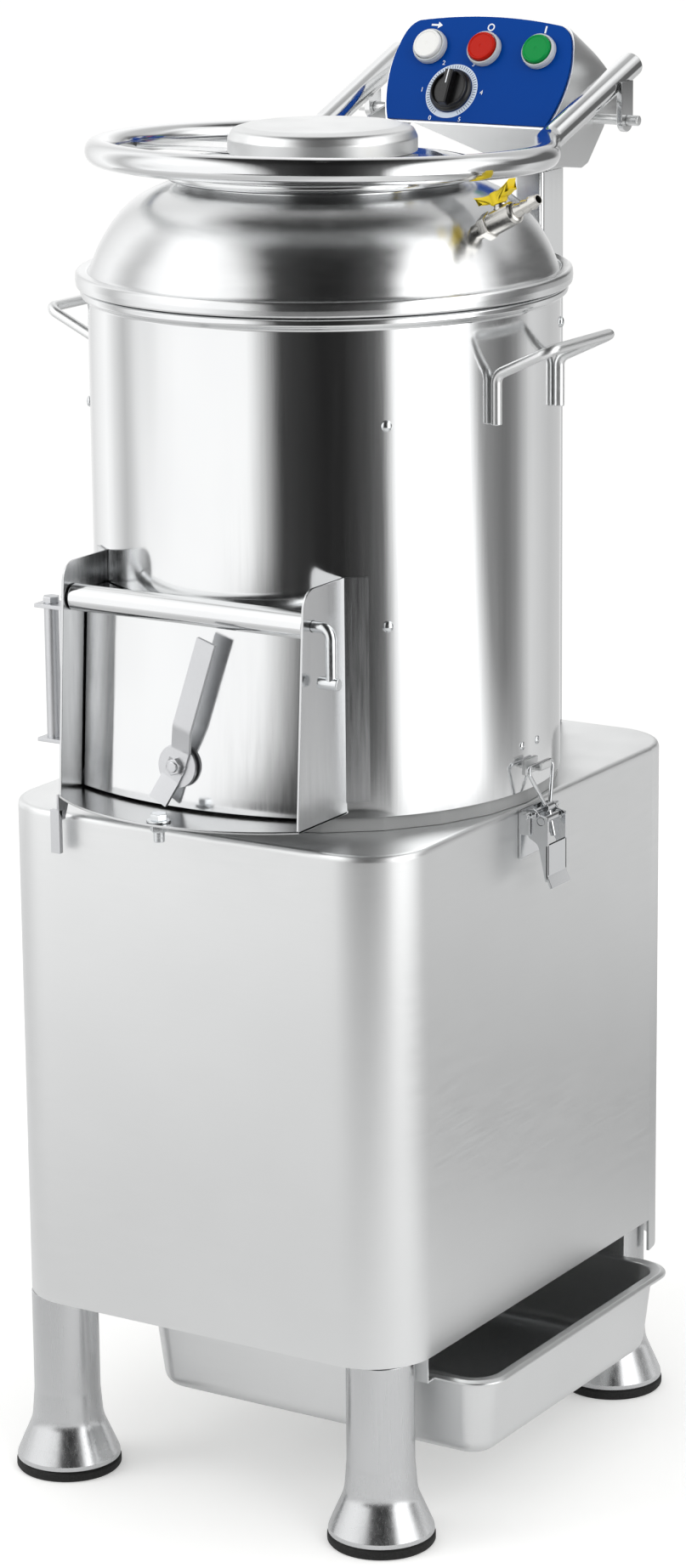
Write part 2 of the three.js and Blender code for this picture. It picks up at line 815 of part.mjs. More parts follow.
const trayRunner = (wall, inward) => {
  const half = legSide + legTube;
  const ledgeTop = trayRimFoot - seat;
  const span = (from, to) => [Math.min(from, to), Math.max(from, to)];
  const [webLow, webHigh] = span(wall, wall + inward * runnerSheet);
  const [ledgeLow, ledgeHigh] = span(wall, wall + inward * (runnerSheet + runnerLedge));
  return join(
    block([-half, webLow, ledgeTop - runnerSheet], [half, webHigh, legTop]),
    block([-half, ledgeLow, ledgeTop - runnerSheet], [half, ledgeHigh, ledgeTop]),
  );
};

// Drain pan: a flanged dish hung in the deck hole, with a spout that drops the waste into the tray
const panRimZ = cabinetTop + seat;
const panFloor = panRimZ - panDepth;
const drainPan = () => {
  const top = panRimZ + panSheet;
  const dish = turned([
    [housingRadius + seat, panFloor],
    [panRadius, panFloor],
    [panRadius, panRimZ],
    [panRadius + panFlange, panRimZ],
    [panRadius + panFlange, top],
    [panRadius - panSheet, top],
    [panRadius - panSheet, panFloor + panSheet],
    [housingRadius + seat, panFloor + panSheet],
    [housingRadius + seat, panFloor],
  ], innerTurn);
  const angle = radians(spoutAzimuth);
  const move = (shape) => shape.translate([spoutReach * Math.sin(angle), -spoutReach * Math.cos(angle), 0]);
  const pipe = move(drum(spoutRadius, spoutFoot, panFloor + panSheet / 2, smallTurn));
  const bore = move(drum(spoutRadius - panSheet, spoutFoot - overrun, panFloor + overrun, smallTurn));
  return cut(join(dish, pipe), bore);
};

// Bearing housing: a bored column bolted under the pan, closed round the shaft at its top lip
const housingFace = panFloor - seat;
const bearingHousing = () => {
  const lipRadius = shaftRadius + slack;
  return turned([
    [housingBore, housingFoot],
    [housingRadius, housingFoot],
    [housingRadius, housingFace - housingFlangeHeight],
    [housingFlange, housingFace - housingFlangeHeight],
    [housingFlange, housingFace],
    [housingRadius, housingFace],
    [housingRadius, housingTop],
    [lipRadius, housingTop],
    [lipRadius, housingTop - housingLip],
    [housingBore, housingTop - housingLip],
    [housingBore, housingFoot],
  ], smallTurn);
};

const bearing = (foot) => {
  const bore = turningBore(shaftRadius, shaftFit, smallTurn);
  return ring(bore, housingBore - seat, foot, foot + bearingHeight, smallTurn);
};

const driveShaft = () => drum(shaftRadius, shaftFoot, discHubTop - seat, smallTurn);

// Abrasive disc: a plate with rolling waves on top, a bored hub, and two paddles below that sweep the pan
const discBore = shaftRadius + shaftFit;
const wavePlate = () => {
  const rings = [];
  const outline = (radius, height) => {
    const points = [];
    for (let i = 0; i < innerTurn; i += 1) {
      const angle = (2 * Math.PI * i) / innerTurn;
      points.push(new THREE.Vector3(radius * Math.cos(angle), radius * Math.sin(angle), height(angle)));
    }
    return points;
  };
  const top = discBottom + discThickness;
  rings.push(outline(discRadius, () => discBottom));
  for (let i = discSwellShares.length - 1; i >= 0; i -= 1) {
    const share = discHeightShares[i];
    const wave = (angle) => top + discWave * share * Math.max(0, Math.cos(discWaves * angle)) ** 2;
    rings.push(outline(discRadius * discSwellShares[i], wave));
  }
  return lofted(rings);
};

const abrasiveDisc = () => {
  const hub = drum(discHub, discBottom - overrun, discHubTop, midTurn);
  const paddleFoot = panFloor + panSheet + paddleFloorGap;
  const thick = paddleThickness / 2;
  const overlap = discBottom + discThickness / 2;
  const paddles = [-1, 1].map((side) => {
    const [from, to] = side < 0 ? [-paddleOuter, -paddleInner] : [paddleInner, paddleOuter];
    return block([from, -thick, paddleFoot], [to, thick, overlap]);
  });
  const bore = drum(discBore, discBottom - 2 * overrun, discHubTop + overrun, smallTurn);
  return cut(join(wavePlate(), hub, ...paddles), bore);
};

const lockNut = () => {
  const foot = discHubTop + seat;
  const [shoulder, crown] = lockNutRadiusShares;
  return turned([
    [0, foot],
    [lockNutRadius, foot],
    [lockNutRadius, foot + lockNutHeight / 3],
    [lockNutRadius * shoulder, foot + lockNutHeight * lockNutRiseShare],
    [lockNutRadius * crown, foot + lockNutHeight],
    [0, foot + lockNutHeight],
  ], tinyTurn);
};

// Belt drive: a spoked pulley on the drive shaft, a small one on the motor, and a V-belt round both
const grooved = (radius, bore, facets) => {
  const foot = beltZ - pulleyHeight / 2;
  const head = beltZ + pulleyHeight / 2;
  const rootHalf = beltWidth / 2 - slack;
  const mouthHalf = beltWidth / 2 + seat + slack / 2;
  return turned([
    [bore, foot],
    [radius, foot],
    [radius, beltZ - mouthHalf],
    [radius - grooveDepth, beltZ - rootHalf],
    [radius - grooveDepth, beltZ + rootHalf],
    [radius, beltZ + mouthHalf],
    [radius, head],
    [bore, head],
    [bore, foot],
  ], facets);
};

const largePulley = () => {
  const webRadius = bigPulley - grooveDepth - pulleyHub / 4;
  const pocketInner = pulleyHub;
  const pocketDepth = pulleyHeight / 3;
  const foot = beltZ - pulleyHeight / 2;
  const head = beltZ + pulleyHeight / 2;
  const wheel = cut(
    grooved(bigPulley, discBore, innerTurn),
    ring(pocketInner, webRadius, foot - overrun, foot + pocketDepth, midTurn),
    ring(pocketInner, webRadius, head - pocketDepth, head + overrun, midTurn),
  );
  const holes = [];
  for (let i = 0; i < pulleyHoles; i += 1) {
    const angle = (2 * Math.PI * i) / pulleyHoles;
    const reach = (pocketInner + webRadius) / 2;
    const hole = drum(pulleyHoleRadius, foot - overrun, head + overrun, smallTurn);
    holes.push(hole.translate([reach * Math.cos(angle), reach * Math.sin(angle), 0]));
  }
  return cut(wheel, ...holes);
};

const beltOuter = (pulley) => pulley - grooveDepth + grooveFloorGap + beltDepth;
const vBelt = () => {
  const loop = (big, small, from, to) => {
    const shift = Math.asin((big - small) / motorBack);
    const outline = new THREE.Shape();
    outline.absarc(0, 0, big, Math.PI - shift, 2 * Math.PI + shift, false);
    outline.absarc(0, motorBack, small, shift, Math.PI - shift, false);
    outline.closePath();
    return solid(extruded(outline, from, to, smallTurn));
  };
  const half = beltWidth / 2 - slack;
  const big = beltOuter(bigPulley);
  const small = beltOuter(motorPulley);
  return cut(
    loop(big, small, beltZ - half, beltZ + half),
    loop(big - beltDepth, small - beltDepth, beltZ - half - overrun, beltZ + half + overrun),
  );
};

const motorPulleySolid = () => {
  const stub = drum(motorShaft, beltZ - pulleyHeight / 2, motorFoot - motorPlate - 2 * seat, smallTurn);
  const wheel = turned([
    [0, beltZ - pulleyHeight / 2],
    [motorShaft + slack, beltZ - pulleyHeight / 2],
    [motorShaft + slack, beltZ + pulleyHeight / 2],
    [0, beltZ + pulleyHeight / 2],
  ], smallTurn);
  return join(grooved(motorPulley, motorShaft / 2, midTurn), wheel, stub);
};

const motorSolid = () => {
  const can = turned([
    [0, motorFoot],
    [motorBoss - seat, motorFoot],
    [motorRadius - motorRib, motorFoot],
    [motorRadius - motorRib, motorTop - motorRib],
    [motorRadius - 3 * motorRib, motorTop],
    [0, motorTop],
  ], midTurn);
  const ribs = [];
  const ribFoot = motorFoot + pulleyHeight;
  const ribHead = motorTop - pulleyHeight;
  for (let i = 0; i < motorRibs; i += 1) {
    const inner = [motorRadius - 2 * motorRib, -motorRib / 2, ribFoot];
    const rib = block(inner, [motorRadius, motorRib / 2, ribHead]);
    ribs.push(rib.rotate([0, 0, (360 * i) / motorRibs]));
  }
  return join(can, ...ribs);
};

const motorBracket = () => {
  const foot = motorFoot - seat - motorPlate;
  const front = motorBack - motorRadius - 2 * overrun;
  const back = cabinetRear - cabinetSheet - 2 * overrun;
  const top = cabinetTop - cabinetSheet - seat;
  const clearPan = panRadius + overrun;
  const cheek = [
    [front, foot],
    [back, foot],
    [back, top],
    [clearPan, top],
    [clearPan, panFloor - 2 * overrun],
    [front, panFloor - panRadius],
  ];
  const plate = block([-motorBracketHalf, front, foot], [motorBracketHalf, back, foot + motorPlate]);
  const hole = drum(motorBoss, foot - overrun, foot + motorPlate + overrun, smallTurn);
  return join(
    cut(plate, hole.translate([0, motorBack, 0])),
    sidePlate(cheek, -motorBracketHalf, -motorBracketHalf + motorPlate),
    sidePlate(cheek, motorBracketHalf - motorPlate, motorBracketHalf),
  );
};

// Barrel: a rolled tube with a beaded rim, an outlet cut low in its front and a strike welded on each side
const strikeFace = barrelRadius + seat;
const strikePlate = () => {
  const back = barrelRadius - barrelWall;
  const ledgeEnd = strikeFace + strikeSheet + strikeLedge + strikeSheet;
  const lipStart = ledgeEnd - strikeSheet;
  return join(
    block([back, -strikeHalf, strikeFoot], [strikeFace + strikeSheet, strikeHalf, strikeHead]),
    block([strikeFace, -strikeHalf, strikeFoot], [ledgeEnd, strikeHalf, strikeFoot + strikeSheet]),
    block([lipStart, -strikeHalf, strikeFoot], [ledgeEnd, strikeHalf, strikeFoot + strikeSheet + strikeLip]),
  );
};

const barrelTube = () => turned([
  [barrelRadius - barrelWall, barrelBase],
  [barrelRadius, barrelBase],
  [barrelRadius, barrelTop - 2 * barrelBeadHeight],
  [barrelRadius + barrelBead, barrelTop - barrelBeadHeight],
  [barrelRadius + barrelBead, barrelTop - barrelBeadHeight / 4],
  [barrelRadius + barrelBead / 2, barrelTop],
  [barrelRadius - barrelWall, barrelTop],
  [barrelRadius - barrelWall, barrelBase],
], fullTurn);

const outletCutter = () => {
  const far = -barrelRadius - overrun;
  return block([-outletHalfWidth, far, outletSill], [outletHalfWidth, -barrelRadius / 2, outletHead]);
};

const barrelShell = () => {
  const right = strikePlate();
  const strikes = join(right, right.rotate([0, 0, 180]));
  const hollow = drum(barrelRadius - barrelWall, barrelBase - overrun, barrelTop + overrun, fullTurn);
  return cut(join(barrelTube(), cut(strikes, hollow)), outletCutter());
};

const abrasiveLiner = () => {
  const outer = barrelRadius - barrelWall - linerGap;
  return cut(ring(outer - linerThickness, outer, linerBottom, linerTop, innerTurn), outletCutter());
};

const seatRing = () => {
  const outer = barrelRadius - barrelWall;
  return ring(outer - seatRingWidth, outer, cabinetTop + seat, barrelBase - seat, innerTurn);
};

// Dome cover: a spun shell from the barrel's rim up to the round feed mouth, with a flange band below
const domeFoot = barrelTop + seat;
const domeTop = domeFoot + domeFlangeHeight;
const domeShell = () => {
  const start = barrelRadius - domeWall;
  const outer = domeRiseShares.map((rise, i) => {
    const radius = domeMouth + (start - domeMouth) * domeReachShares[i];
    return new THREE.Vector2(radius, domeTop + domeHeight * rise);
  });
  const inner = outer.map((point, i) => {
    const before = outer[Math.max(i - 1, 0)];
    const after = outer[Math.min(i + 1, outer.length - 1)];
    const along = after.clone().sub(before).normalize();
    return point.clone().add(new THREE.Vector2(-along.y, along.x).multiplyScalar(domeWall));
  });
  const lipTop = domeTop + domeHeight + domeLip;
  const flangeRadius = barrelRadius + domeFlange;
  const profile = [
    [start - domeWall, domeFoot],
    [flangeRadius, domeFoot],
    [flangeRadius, domeTop - domeWall],
    [flangeRadius - domeWall, domeTop],
    [start, domeTop],
    ...outer.map((point) => [point.x, point.y]),
    [domeMouth, domeTop + domeHeight],
    [domeMouth, lipTop],
    [domeMouth - domeWall, lipTop],
    [domeMouth - domeWall, domeTop + domeHeight - domeWall],
    ...inner.filter((_, i) => i % 2 === 0).reverse().map((point) => [point.x, point.y]),
    [start - domeWall, domeTop],
    [start - domeWall, domeFoot],
  ];
  return turned(profile, fullTurn);
};

const valveFrame = () => {
  const azimuth = radians(valveAzimuth);
  const rise = radians(valveTilt);
  const out = new THREE.Vector3(Math.sin(azimuth), -Math.cos(azimuth), 0);
  const along = out.clone().multiplyScalar(Math.cos(rise)).add(new THREE.Vector3(0, 0, Math.sin(rise)));
  const up = out.clone().multiplyScalar(-Math.sin(rise)).add(new THREE.Vector3(0, 0, Math.cos(rise)));
  const across = up.clone().cross(along);
  const frame = new THREE.Matrix4().makeBasis(along, across, up);
  return frame.setPosition(out.multiplyScalar(valveReach).add(new THREE.Vector3(0, 0, valveZ)));
};

const domeCover = () => {
  const frame = valveFrame();
  const from = new THREE.Vector3(-valveBodyLength, 0, 0).applyMatrix4(frame).toArray();
  const to = new THREE.Vector3(valveBodyLength, 0, 0).applyMatrix4(frame).toArray();
  return cut(domeShell(), rodBetween(from, to, valveNipple + seat, smallTurn));
};

// Water valve: nipple through the dome, hexagon nut, ball body, hose barb and a two-wing handle
const valveBodySolid = () => {
  const nutStart = overrun;
  const bodyStart = nutStart + valveNutLength;
  const bodyEnd = bodyStart + valveBodyLength;
  const barbEnd = bodyEnd + barbLength;
  const profile = [
    [barbBore, -valveNutLength],
    [valveNipple, -valveNutLength],
    [valveNipple, nutStart],
    [valveBody, nutStart],
    [valveBody, bodyEnd],
    [barbRadius, bodyEnd + slack],
  ];
  const step = (barbLength - 2 * slack) / barbCount;
  for (let i = 0; i < barbCount; i += 1) {
    const start = bodyEnd + 2 * slack + step * i;
    profile.push([barbRadius, start], [barbRadius - slack, start + step * barbShare]);
  }
  profile.push([barbBore, barbEnd], [barbBore, -valveNutLength]);
  const tube = turned(profile, smallTurn);
  const nut = cut(
    drum(valveNut, nutStart, bodyStart, valveNutSides),
    drum(barbBore, nutStart - overrun, bodyStart + overrun, smallTurn),
  );
  const stem = bodyStart + valveBodyLength / 2;
  const boss = rodBetween([0, 0, stem], [-valveBody - slack, 0, stem], wingStem + slack, tinyTurn);
  const waterway = drum(barbBore, -valveNutLength - overrun, barbEnd + overrun, smallTurn);
  const bored = cut(join(tube, nut, boss), waterway);
  return bored.rotate([0, 90, 0]);
};

const stemPlace = overrun + valveNutLength + valveBodyLength / 2;
const valveHandleSolid = () => {
  const foot = valveBody + slack + seat;
  const wingFoot = foot + wingStem;
  const half = wingLength / 2;
  const outline = new THREE.Shape();
  outline.moveTo(-half, wingFoot + wingHeight / 3);
  outline.quadraticCurveTo(-half, wingFoot, -half / 2, wingFoot);
  outline.lineTo(half / 2, wingFoot);
  outline.quadraticCurveTo(half, wingFoot, half, wingFoot + wingHeight / 3);
  outline.lineTo(half, wingFoot + wingHeight);
  outline.quadraticCurveTo(0, wingFoot + wingHeight * wingDipShare, -half, wingFoot + wingHeight);
  outline.closePath();
  const wing = solid(extruded(outline, -wingWidth / 2, wingWidth / 2, panelSteps).rotateX(Math.PI / 2));
  return join(wing, drum(wingStem, foot, wingFoot + wingHeight / 3, tinyTurn));
};

const waterValve = () => {
  const group = new THREE.Group();
  group.applyMatrix4(valveFrame());
  const body = part('water_valve', valveBodySolid(), zincSteel);
  const handle = part('valve_handle', valveHandleSolid(), yellowPlastic);
  handle.position.x = stemPlace;
  group.add(body, handle);
  return group;
};

// Lid: a spun pan with a rolled rim and a locating collar that drops inside the dome's mouth
const lidSeat = domeTop + domeHeight + domeLip + seat;
const lidRimZ = lidSeat + lidRimTube * lidSinkShare;
const lidTop = lidSeat + lidCrown;
const lidSolid = () => {
  const rim = [];
  for (let i = 0; i <= 4; i += 1) {
    const angle = radians(lidRimStart - lidRimStep * i);
    rim.push([lidRimRadius + lidRimTube * Math.cos(angle), lidRimZ + lidRimTube * Math.sin(angle)]);
  }
  const slope = lidSlopeShares.map((share, i) =>
    [lidCrownRadius + lidSlope * share, lidTop - lidCrown * lidFallShares[i]]);
  return turned([
    [0, lidTop],
    [lidCrownRadius, lidTop],
    ...slope,
    ...rim,
    [lidCollarRadius, lidSeat],
    [lidCollarRadius, lidSeat - lidCollarDepth],
    [lidCollarRadius - lidCollarWall, lidSeat - lidCollarDepth],
    [lidCollarRadius - lidCollarWall, lidSeat + lidSheet],
    [lidCrownRadius - lidSheet, lidTop - lidSheet],
    [0, lidTop - lidSheet],
  ], fullTurn);
};

// Lid cap: a round pressed knob-plate bolted down over the strap, hollow underneath
const strapFoot = lidTop + seat;
const capFoot = strapFoot + strapThickness + seat;
const lidCap = () => {
  const top = capFoot + capHeight;
  return turned([
    [0, top],
    [capRadius - capEdge, top],
    [capRadius - capEdge / 3, top - capEdge / 4],
    [capRadius - capSheet / 5, top - capEdge * capEdgeShare],
    [capRadius, top - capEdge],
    [capRadius, capFoot],
    [capRadius - capSheet, capFoot],
    [capRadius - capSheet, top - capEdge],
    [capRadius - capEdge, top - capSheet],
    [capBoss, top - capSheet],
    [capBoss, capFoot],
    [0, capFoot],
  ], midTurn);
};

// Hoop handle: one bent tube round the lid whose arms climb past the control head, with a strap across it
const hoopHeight = (y) => hoopLevel - hoopFall * y;
const hoopRoute = () => {
  const reach = Math.hypot(hoopBendSide, hoopBendBack);
  const bendAngle = Math.atan2(hoopBendSide, -hoopBendBack);
  const leave = bendAngle - Math.acos(hoopRadius / reach);
  const arc = [];
  for (let i = 0; i <= fullTurn / 2; i += 1) {
    const angle = leave * (i / (fullTurn / 4) - 1);
    const y = -hoopRadius * Math.cos(angle);
    arc.push(new THREE.Vector3(hoopRadius * Math.sin(angle), y, hoopHeight(y)));
  }
  const arm = (side) => {
    const start = side < 0 ? arc[0] : arc[arc.length - 1];
    const bend = new THREE.Vector3(side * hoopBendSide, hoopBendBack, hoopHeight(hoopBendBack));
    const tip = new THREE.Vector3(side * hoopEndSide, hoopEndBack, hoopEndZ);
    return rounded([start, bend, tip], 3 * hoopTube, 3).slice(1);
  };
  return [...arm(-1).reverse(), ...arc, ...arm(1)];
};

const hoopHandle = () => {
  const tube = bentRod(hoopRoute(), hoopTube, tinyTurn, new THREE.Vector3(0, 0, 1));
  const strapHalf = hoopRadius - hoopTube / 2;
  const low = [-strapHalf, -strapWidth / 2, strapFoot];
  const strap = block(low, [strapHalf, strapWidth / 2, strapFoot + strapThickness]);
  const armShare = (pivotBack - hoopBendBack) / (hoopEndBack - hoopBendBack);
  const bendZ = hoopHeight(hoopBendBack);
  const armZ = bendZ + (hoopEndZ - bendZ) * armShare;
  const lugs = [-1, 1].map((side) => {
    const inner = side * (hoopEndSide + hoopTube * lugShare);
    const outer = inner + side * lugThickness;
    const [from, to] = [Math.min(inner, outer), Math.max(inner, outer)];
    const leaf = block([from, pivotBack - lugRadius, pivotZ], [to, pivotBack + lugRadius, armZ]);
    const eye = rodBetween([from, pivotBack, pivotZ], [to, pivotBack, pivotZ], lugRadius, smallTurn);
    const near = [side * bracketSide, pivotBack, pivotZ];
    const far = [side * (hoopEndSide + bracketSide), pivotBack, pivotZ];
    const bore = rodBetween(near, far, turningBore(pivotPin, seat, smallTurn), smallTurn);
    return cut(join(leaf, eye), bore);
  });
  return join(tube, strap, ...lugs);
};

// Hinge brackets: a shaped cheek on each side of the control head with the pivot pin welded through it
const hingeBracket = (side) => {
  const outline = bracketReachShares.map((share, i) =>
    [bracketReach * share, bracketDrop * bracketDropShares[i]]);
  const inner = bracketSide;
  const outer = bracketSide + bracketPlate;
  const pinEnd = hoopEndSide + hoopTube * lugShare + lugThickness + 2 * overrun;
  const cheek = sidePlate(outline, inner, outer);
  const pin = rodBetween([inner, 0, 0], [pinEnd, 0, 0], pivotPin, smallTurn);
  const spacer = rodBetween([panelWaistHalf + 2 * seat, 0, 0], [inner + seat, 0, 0], 2 * pivotPin, smallTurn);
  const whole = join(cheek, pin, spacer);
  return side > 0 ? whole : whole.mirror([1, 0, 0]);
};

// Post: a rectangular tube from the cabinet's deck up to the control head's apron, carrying its wiring
const apronFoot = panelFoot - apronDrop;
const postSolid = () => {
  const foot = cabinetTop + seat;
  const head = apronFoot - seat;
  const low = [postSide, postBack, foot];
  const high = [postSide + postWidth, postBack + postDepth, head];
  const inner = (corner, sign) =>
    corner.map((value, axis) => value + sign * (axis < 2 ? postWall : -overrun));
  return cut(block(low, high), block(inner(low, 1), inner(high, -1)));
};

// Control head: a folded housing behind the tilted panel, with an apron that narrows down to the post
const panelOutline = (inset) => {
  const foot = panelFootHalf - inset;
  const waist = panelWaistHalf - inset;
  const low = inset;
  const top = panelHeight - inset;
  const bulge = panelBulgeShares.map((share) => waist * share);
  const rise = panelBulgeRiseShares.map((share) => panelHeight * share);
  const shoulder = [waist * panelShoulderShare, top * panelShoulderRiseShare];
  const crown = [foot * panelCrownShare, top * panelCrownFootShare];
  const outline = new THREE.Shape();
  outline.moveTo(-foot, low);
  outline.lineTo(foot, low);
  outline.bezierCurveTo(bulge[0], rise[0], bulge[1], rise[1], bulge[2], rise[2]);
  outline.quadraticCurveTo(shoulder[0], shoulder[1], crown[0], crown[1]);
  outline.quadraticCurveTo(0, top * panelCrownRiseShare, -crown[0], crown[1]);
  outline.quadraticCurveTo(-shoulder[0], shoulder[1], -bulge[2], rise[2]);
  outline.bezierCurveTo(-bulge[1], rise[1], -bulge[0], rise[0], -foot, low);
  return outline;
};

const panelFrame = () => {
  const tilt = radians(panelTilt);
  const right = new THREE.Vector3(1, 0, 0);
  const upSlope = new THREE.Vector3(0, Math.sin(tilt), Math.cos(tilt));
  const outward = new THREE.Vector3(0, -Math.cos(tilt), Math.sin(tilt));
  return new THREE.Matrix4().makeBasis(right, upSlope, outward).setPosition(0, panelBack, panelFoot);
};

const headWedge = (inset) => {
  const fall = headDepthShares.map((share, i) => {
    const z = panelFoot + panelHeight * headRiseShares[i];
    return [panelBack + headDepth * share - inset, i === 0 ? z - slack + inset : z - inset];
  });
  const profile = [
    [panelBack - overrun, panelFoot + inset],
    ...fall,
    [panelBack - overrun, panelFoot + panelHeight - inset],
  ];
  return sidePlate(profile, -cabinetWidth / 2, cabinetWidth / 2);
};

const headPrism = (inset, front) =>
  solid(extruded(panelOutline(inset), -headDepth - overrun, front).applyMatrix4(panelFrame()));

const controlBox = () => {
  const outer = common(headPrism(0, 0), headWedge(0));
  const inner = common(headPrism(headSheet, overrun), headWedge(headSheet));
  const right = postSide + postWidth;
  const left = -panelFootHalf * apronShare;
  const top = panelFoot + headSheet / 2;
  const face = panelBack + seat;
  const back = face + apronDepth;
  const apronOutline = [[left, top], [right, top], [right, apronFoot], [postSide, apronFoot]];
  const apron = frontPlate(apronOutline, face, back);
  const hollow = frontPlate([
    [left + 3 * headSheet, top + overrun],
    [right - headSheet, top + overrun],
    [right - headSheet, apronFoot + headSheet],
    [postSide + headSheet, apronFoot + headSheet],
  ], face + headSheet, back - headSheet);
  const ahead = solid(extruded(panelOutline(-overrun), 0, headDepth).applyMatrix4(panelFrame()));
  return cut(join(outer, cut(apron, ahead)), inner, hollow);
};

const buttonPlaces = [-1, 0, 1].map((step) => step * buttonPitch + buttonShift);
const controlPanel = () => {
  const face = seat + panelThickness;
  const plate = solid(extruded(panelOutline(panelBorder), seat, face));
  const stemHole = drum(bezelStem + seat, -overrun, overrun, smallTurn);
  const holes = buttonPlaces.map((u) => stemHole.translate([u, buttonRise, 0]));
  const spindleBore = turningBore(knobSpindle, seat, tinyTurn);
  const spindleHole = drum(spindleBore, -overrun, overrun, tinyTurn).translate([dialSide, dialRise, 0]);
  return cut(plate, ...holes, spindleHole);
};

// Push buttons: a ring bezel with a threaded stem through the panel, and a cap that sinks into it
const bezelSolid = () => {
  const face = panelThickness + 2 * seat;
  return turned([
    [stemBore, face - bezelStemLength],
    [bezelStem, face - bezelStemLength],
    [bezelStem, face],
    [bezelRadius, face],
    [bezelRadius, face + bezelHeight * bezelWallShare],
    [bezelRadius - slack, face + bezelHeight],
    [bezelBore, face + bezelHeight],
    [bezelBore, face + slack],
    [stemBore, face + slack],
    [stemBore, face - bezelStemLength],
  ], smallTurn);
};

const buttonCap = () => {
  const face = panelThickness + 2 * seat;
  const under = face + slack + capTravel + 2 * seat;
  const top = face + capStand;
  return turned([
    [0, face - bezelStemLength + capTravel + slack],
    [capStem, face - bezelStemLength + capTravel + slack],
    [capStem, under],
    [capFace, under],
    [capFace, top - slack],
    [capFace - slack, top],
    [0, top],
  ], smallTurn);
};

// Timer knob: a skirted round knob with a raised grip bar across it
const timerKnob = () => {
  const foot = panelThickness + 2 * seat;
  const skirtTop = foot + knobSkirtHeight;
  const top = foot + knobHeight;
  const [waist, crown] = knobTaperShares;
  const body = turned([
    [0, foot],
    [knobSkirt, foot],
    [knobSkirt, skirtTop],
    [knobSkirt - slack, skirtTop + slack],
    [knobSkirt * waist, top - 2 * slack],
    [knobSkirt * crown, top - slack],
    [0, top - slack],
  ], midTurn);
  const scoop = (side) => {
    const from = side * knobGrip / 2;
    const to = side * (knobSkirt + overrun);
    const low = [Math.min(from, to), -knobSkirt - overrun, skirtTop + slack];
    return block(low, [Math.max(from, to), knobSkirt + overrun, top]);
  };
  const rim = ring(knobSkirt * knobGripShare, knobSkirt + 2 * overrun, skirtTop, top + overrun, midTurn);
  const cutter = (side) => cut(scoop(side), rim);
  const spindle = drum(knobSpindle, foot - knobSpindleLength, foot + slack, tinyTurn);
  return join(cut(body, cutter(-1), cutter(1)), spindle);
};

const panelFittings = () => {
  const group = new THREE.Group();
  group.applyMatrix4(panelFrame());
  group.add(part('control_panel', controlPanel(), bluePanel));
  const buttons = [
    ['discharge', whitePlastic],
    ['stop', redPlastic],
    ['start', greenPlastic],
  ];
  buttons.forEach(([name, material], i) => {
    const bezel = part(`${name}_bezel`, bezelSolid(), clearPlastic);
    const cap = part(`${name}_button`, buttonCap(), material);
    bezel.position.set(buttonPlaces[i], buttonRise, 0);
    cap.position.set(buttonPlaces[i], buttonRise, 0);
    group.add(bezel, cap);
  });
  const knob = part('timer_knob', timerKnob(), blackPlastic);
  knob.position.set(dialSide, dialRise, 0);
  group.add(knob);
  return group;
};

// Outlet chute: two cheeks and a bowed floor folded from sheet, welded to the barrel round its outlet
const chuteFit = barrelRadius + seat;
const chuteCheek = (side) => {
  const outline = new THREE.Shape();
  const back = -barrelRadius / 2;
  outline.moveTo(back, chuteFloor - chuteSheet);
  outline.lineTo(-chuteFootReach, chuteFloor - chuteSheet);
  outline.lineTo(-chuteTopReach, chuteTop - chuteCorner);
  outline.quadraticCurveTo(-chuteTopReach, chuteTop - chuteSheet, -chuteTopReach + chuteCorner, chuteTop);
  outline.lineTo(back, chuteTop);
  outline.closePath();
  const outer = side * chuteHalf;
  const inner = side * (chuteHalf - chuteSheet);
  const [from, to] = [Math.min(inner, outer), Math.max(inner, outer)];
  const geometry = extruded(outline, from, to, panelSteps);
  const axes = new THREE.Matrix4().set(0, 0, 1, 0, 1, 0, 0, 0, 0, 1, 0, 0, 0, 0, 0, 1);
  return solid(geometry.applyMatrix4(axes));
};

const chuteFloorPlate = () => {
  const sagitta = chuteFloorReach - chuteFootReach;
  const radius = (chuteHalf ** 2 + sagitta ** 2) / (2 * sagitta);
  const centre = -chuteFloorReach + radius;
  const spread = Math.asin(chuteHalf / radius);
  const outline = new THREE.Shape();
  outline.moveTo(chuteHalf, -barrelRadius / 2);
  outline.lineTo(-chuteHalf, -barrelRadius / 2);
  outline.absarc(0, centre, radius, -Math.PI / 2 - spread, -Math.PI / 2 + spread, false);
  outline.closePath();
  return solid(extruded(outline, chuteFloor - chuteSheet, chuteFloor, smallTurn));
};

const outletChute = () => {
  const flangeRing = ring(chuteFit, chuteFit + chuteSheet, outletSill, chuteTop, fullTurn);
  const flanges = [-1, 1].map((side) => {
    const near = side * (chuteHalf - chuteSheet);
    const far = side * (chuteHalf + chuteFlange);
    const low = [Math.min(near, far), -barrelRadius - overrun, outletSill];
    return common(flangeRing, block(low, [Math.max(near, far), -barrelRadius / 2, chuteTop]));
  });
  const barrel = drum(chuteFit, chuteFloor - 2 * overrun, chuteTop + overrun, fullTurn);
  const pinHole = rodBetween(
    [-crankSide, -hingeReach, hingeZ],
    [crankSide, -hingeReach, hingeZ],
    turningBore(hingeRod, rodFit, smallTurn),
    smallTurn,
  );
  const boltHole = drum(strikerBolt + seat, chuteFloor - overrun, chuteFloor + overrun, smallTurn);
  const sheet = cut(join(chuteCheek(-1), chuteCheek(1), chuteFloorPlate()), barrel);
  return cut(join(sheet, ...flanges), pinHole, boltHole.translate([strikerSide, -strikerReach, 0]));
};

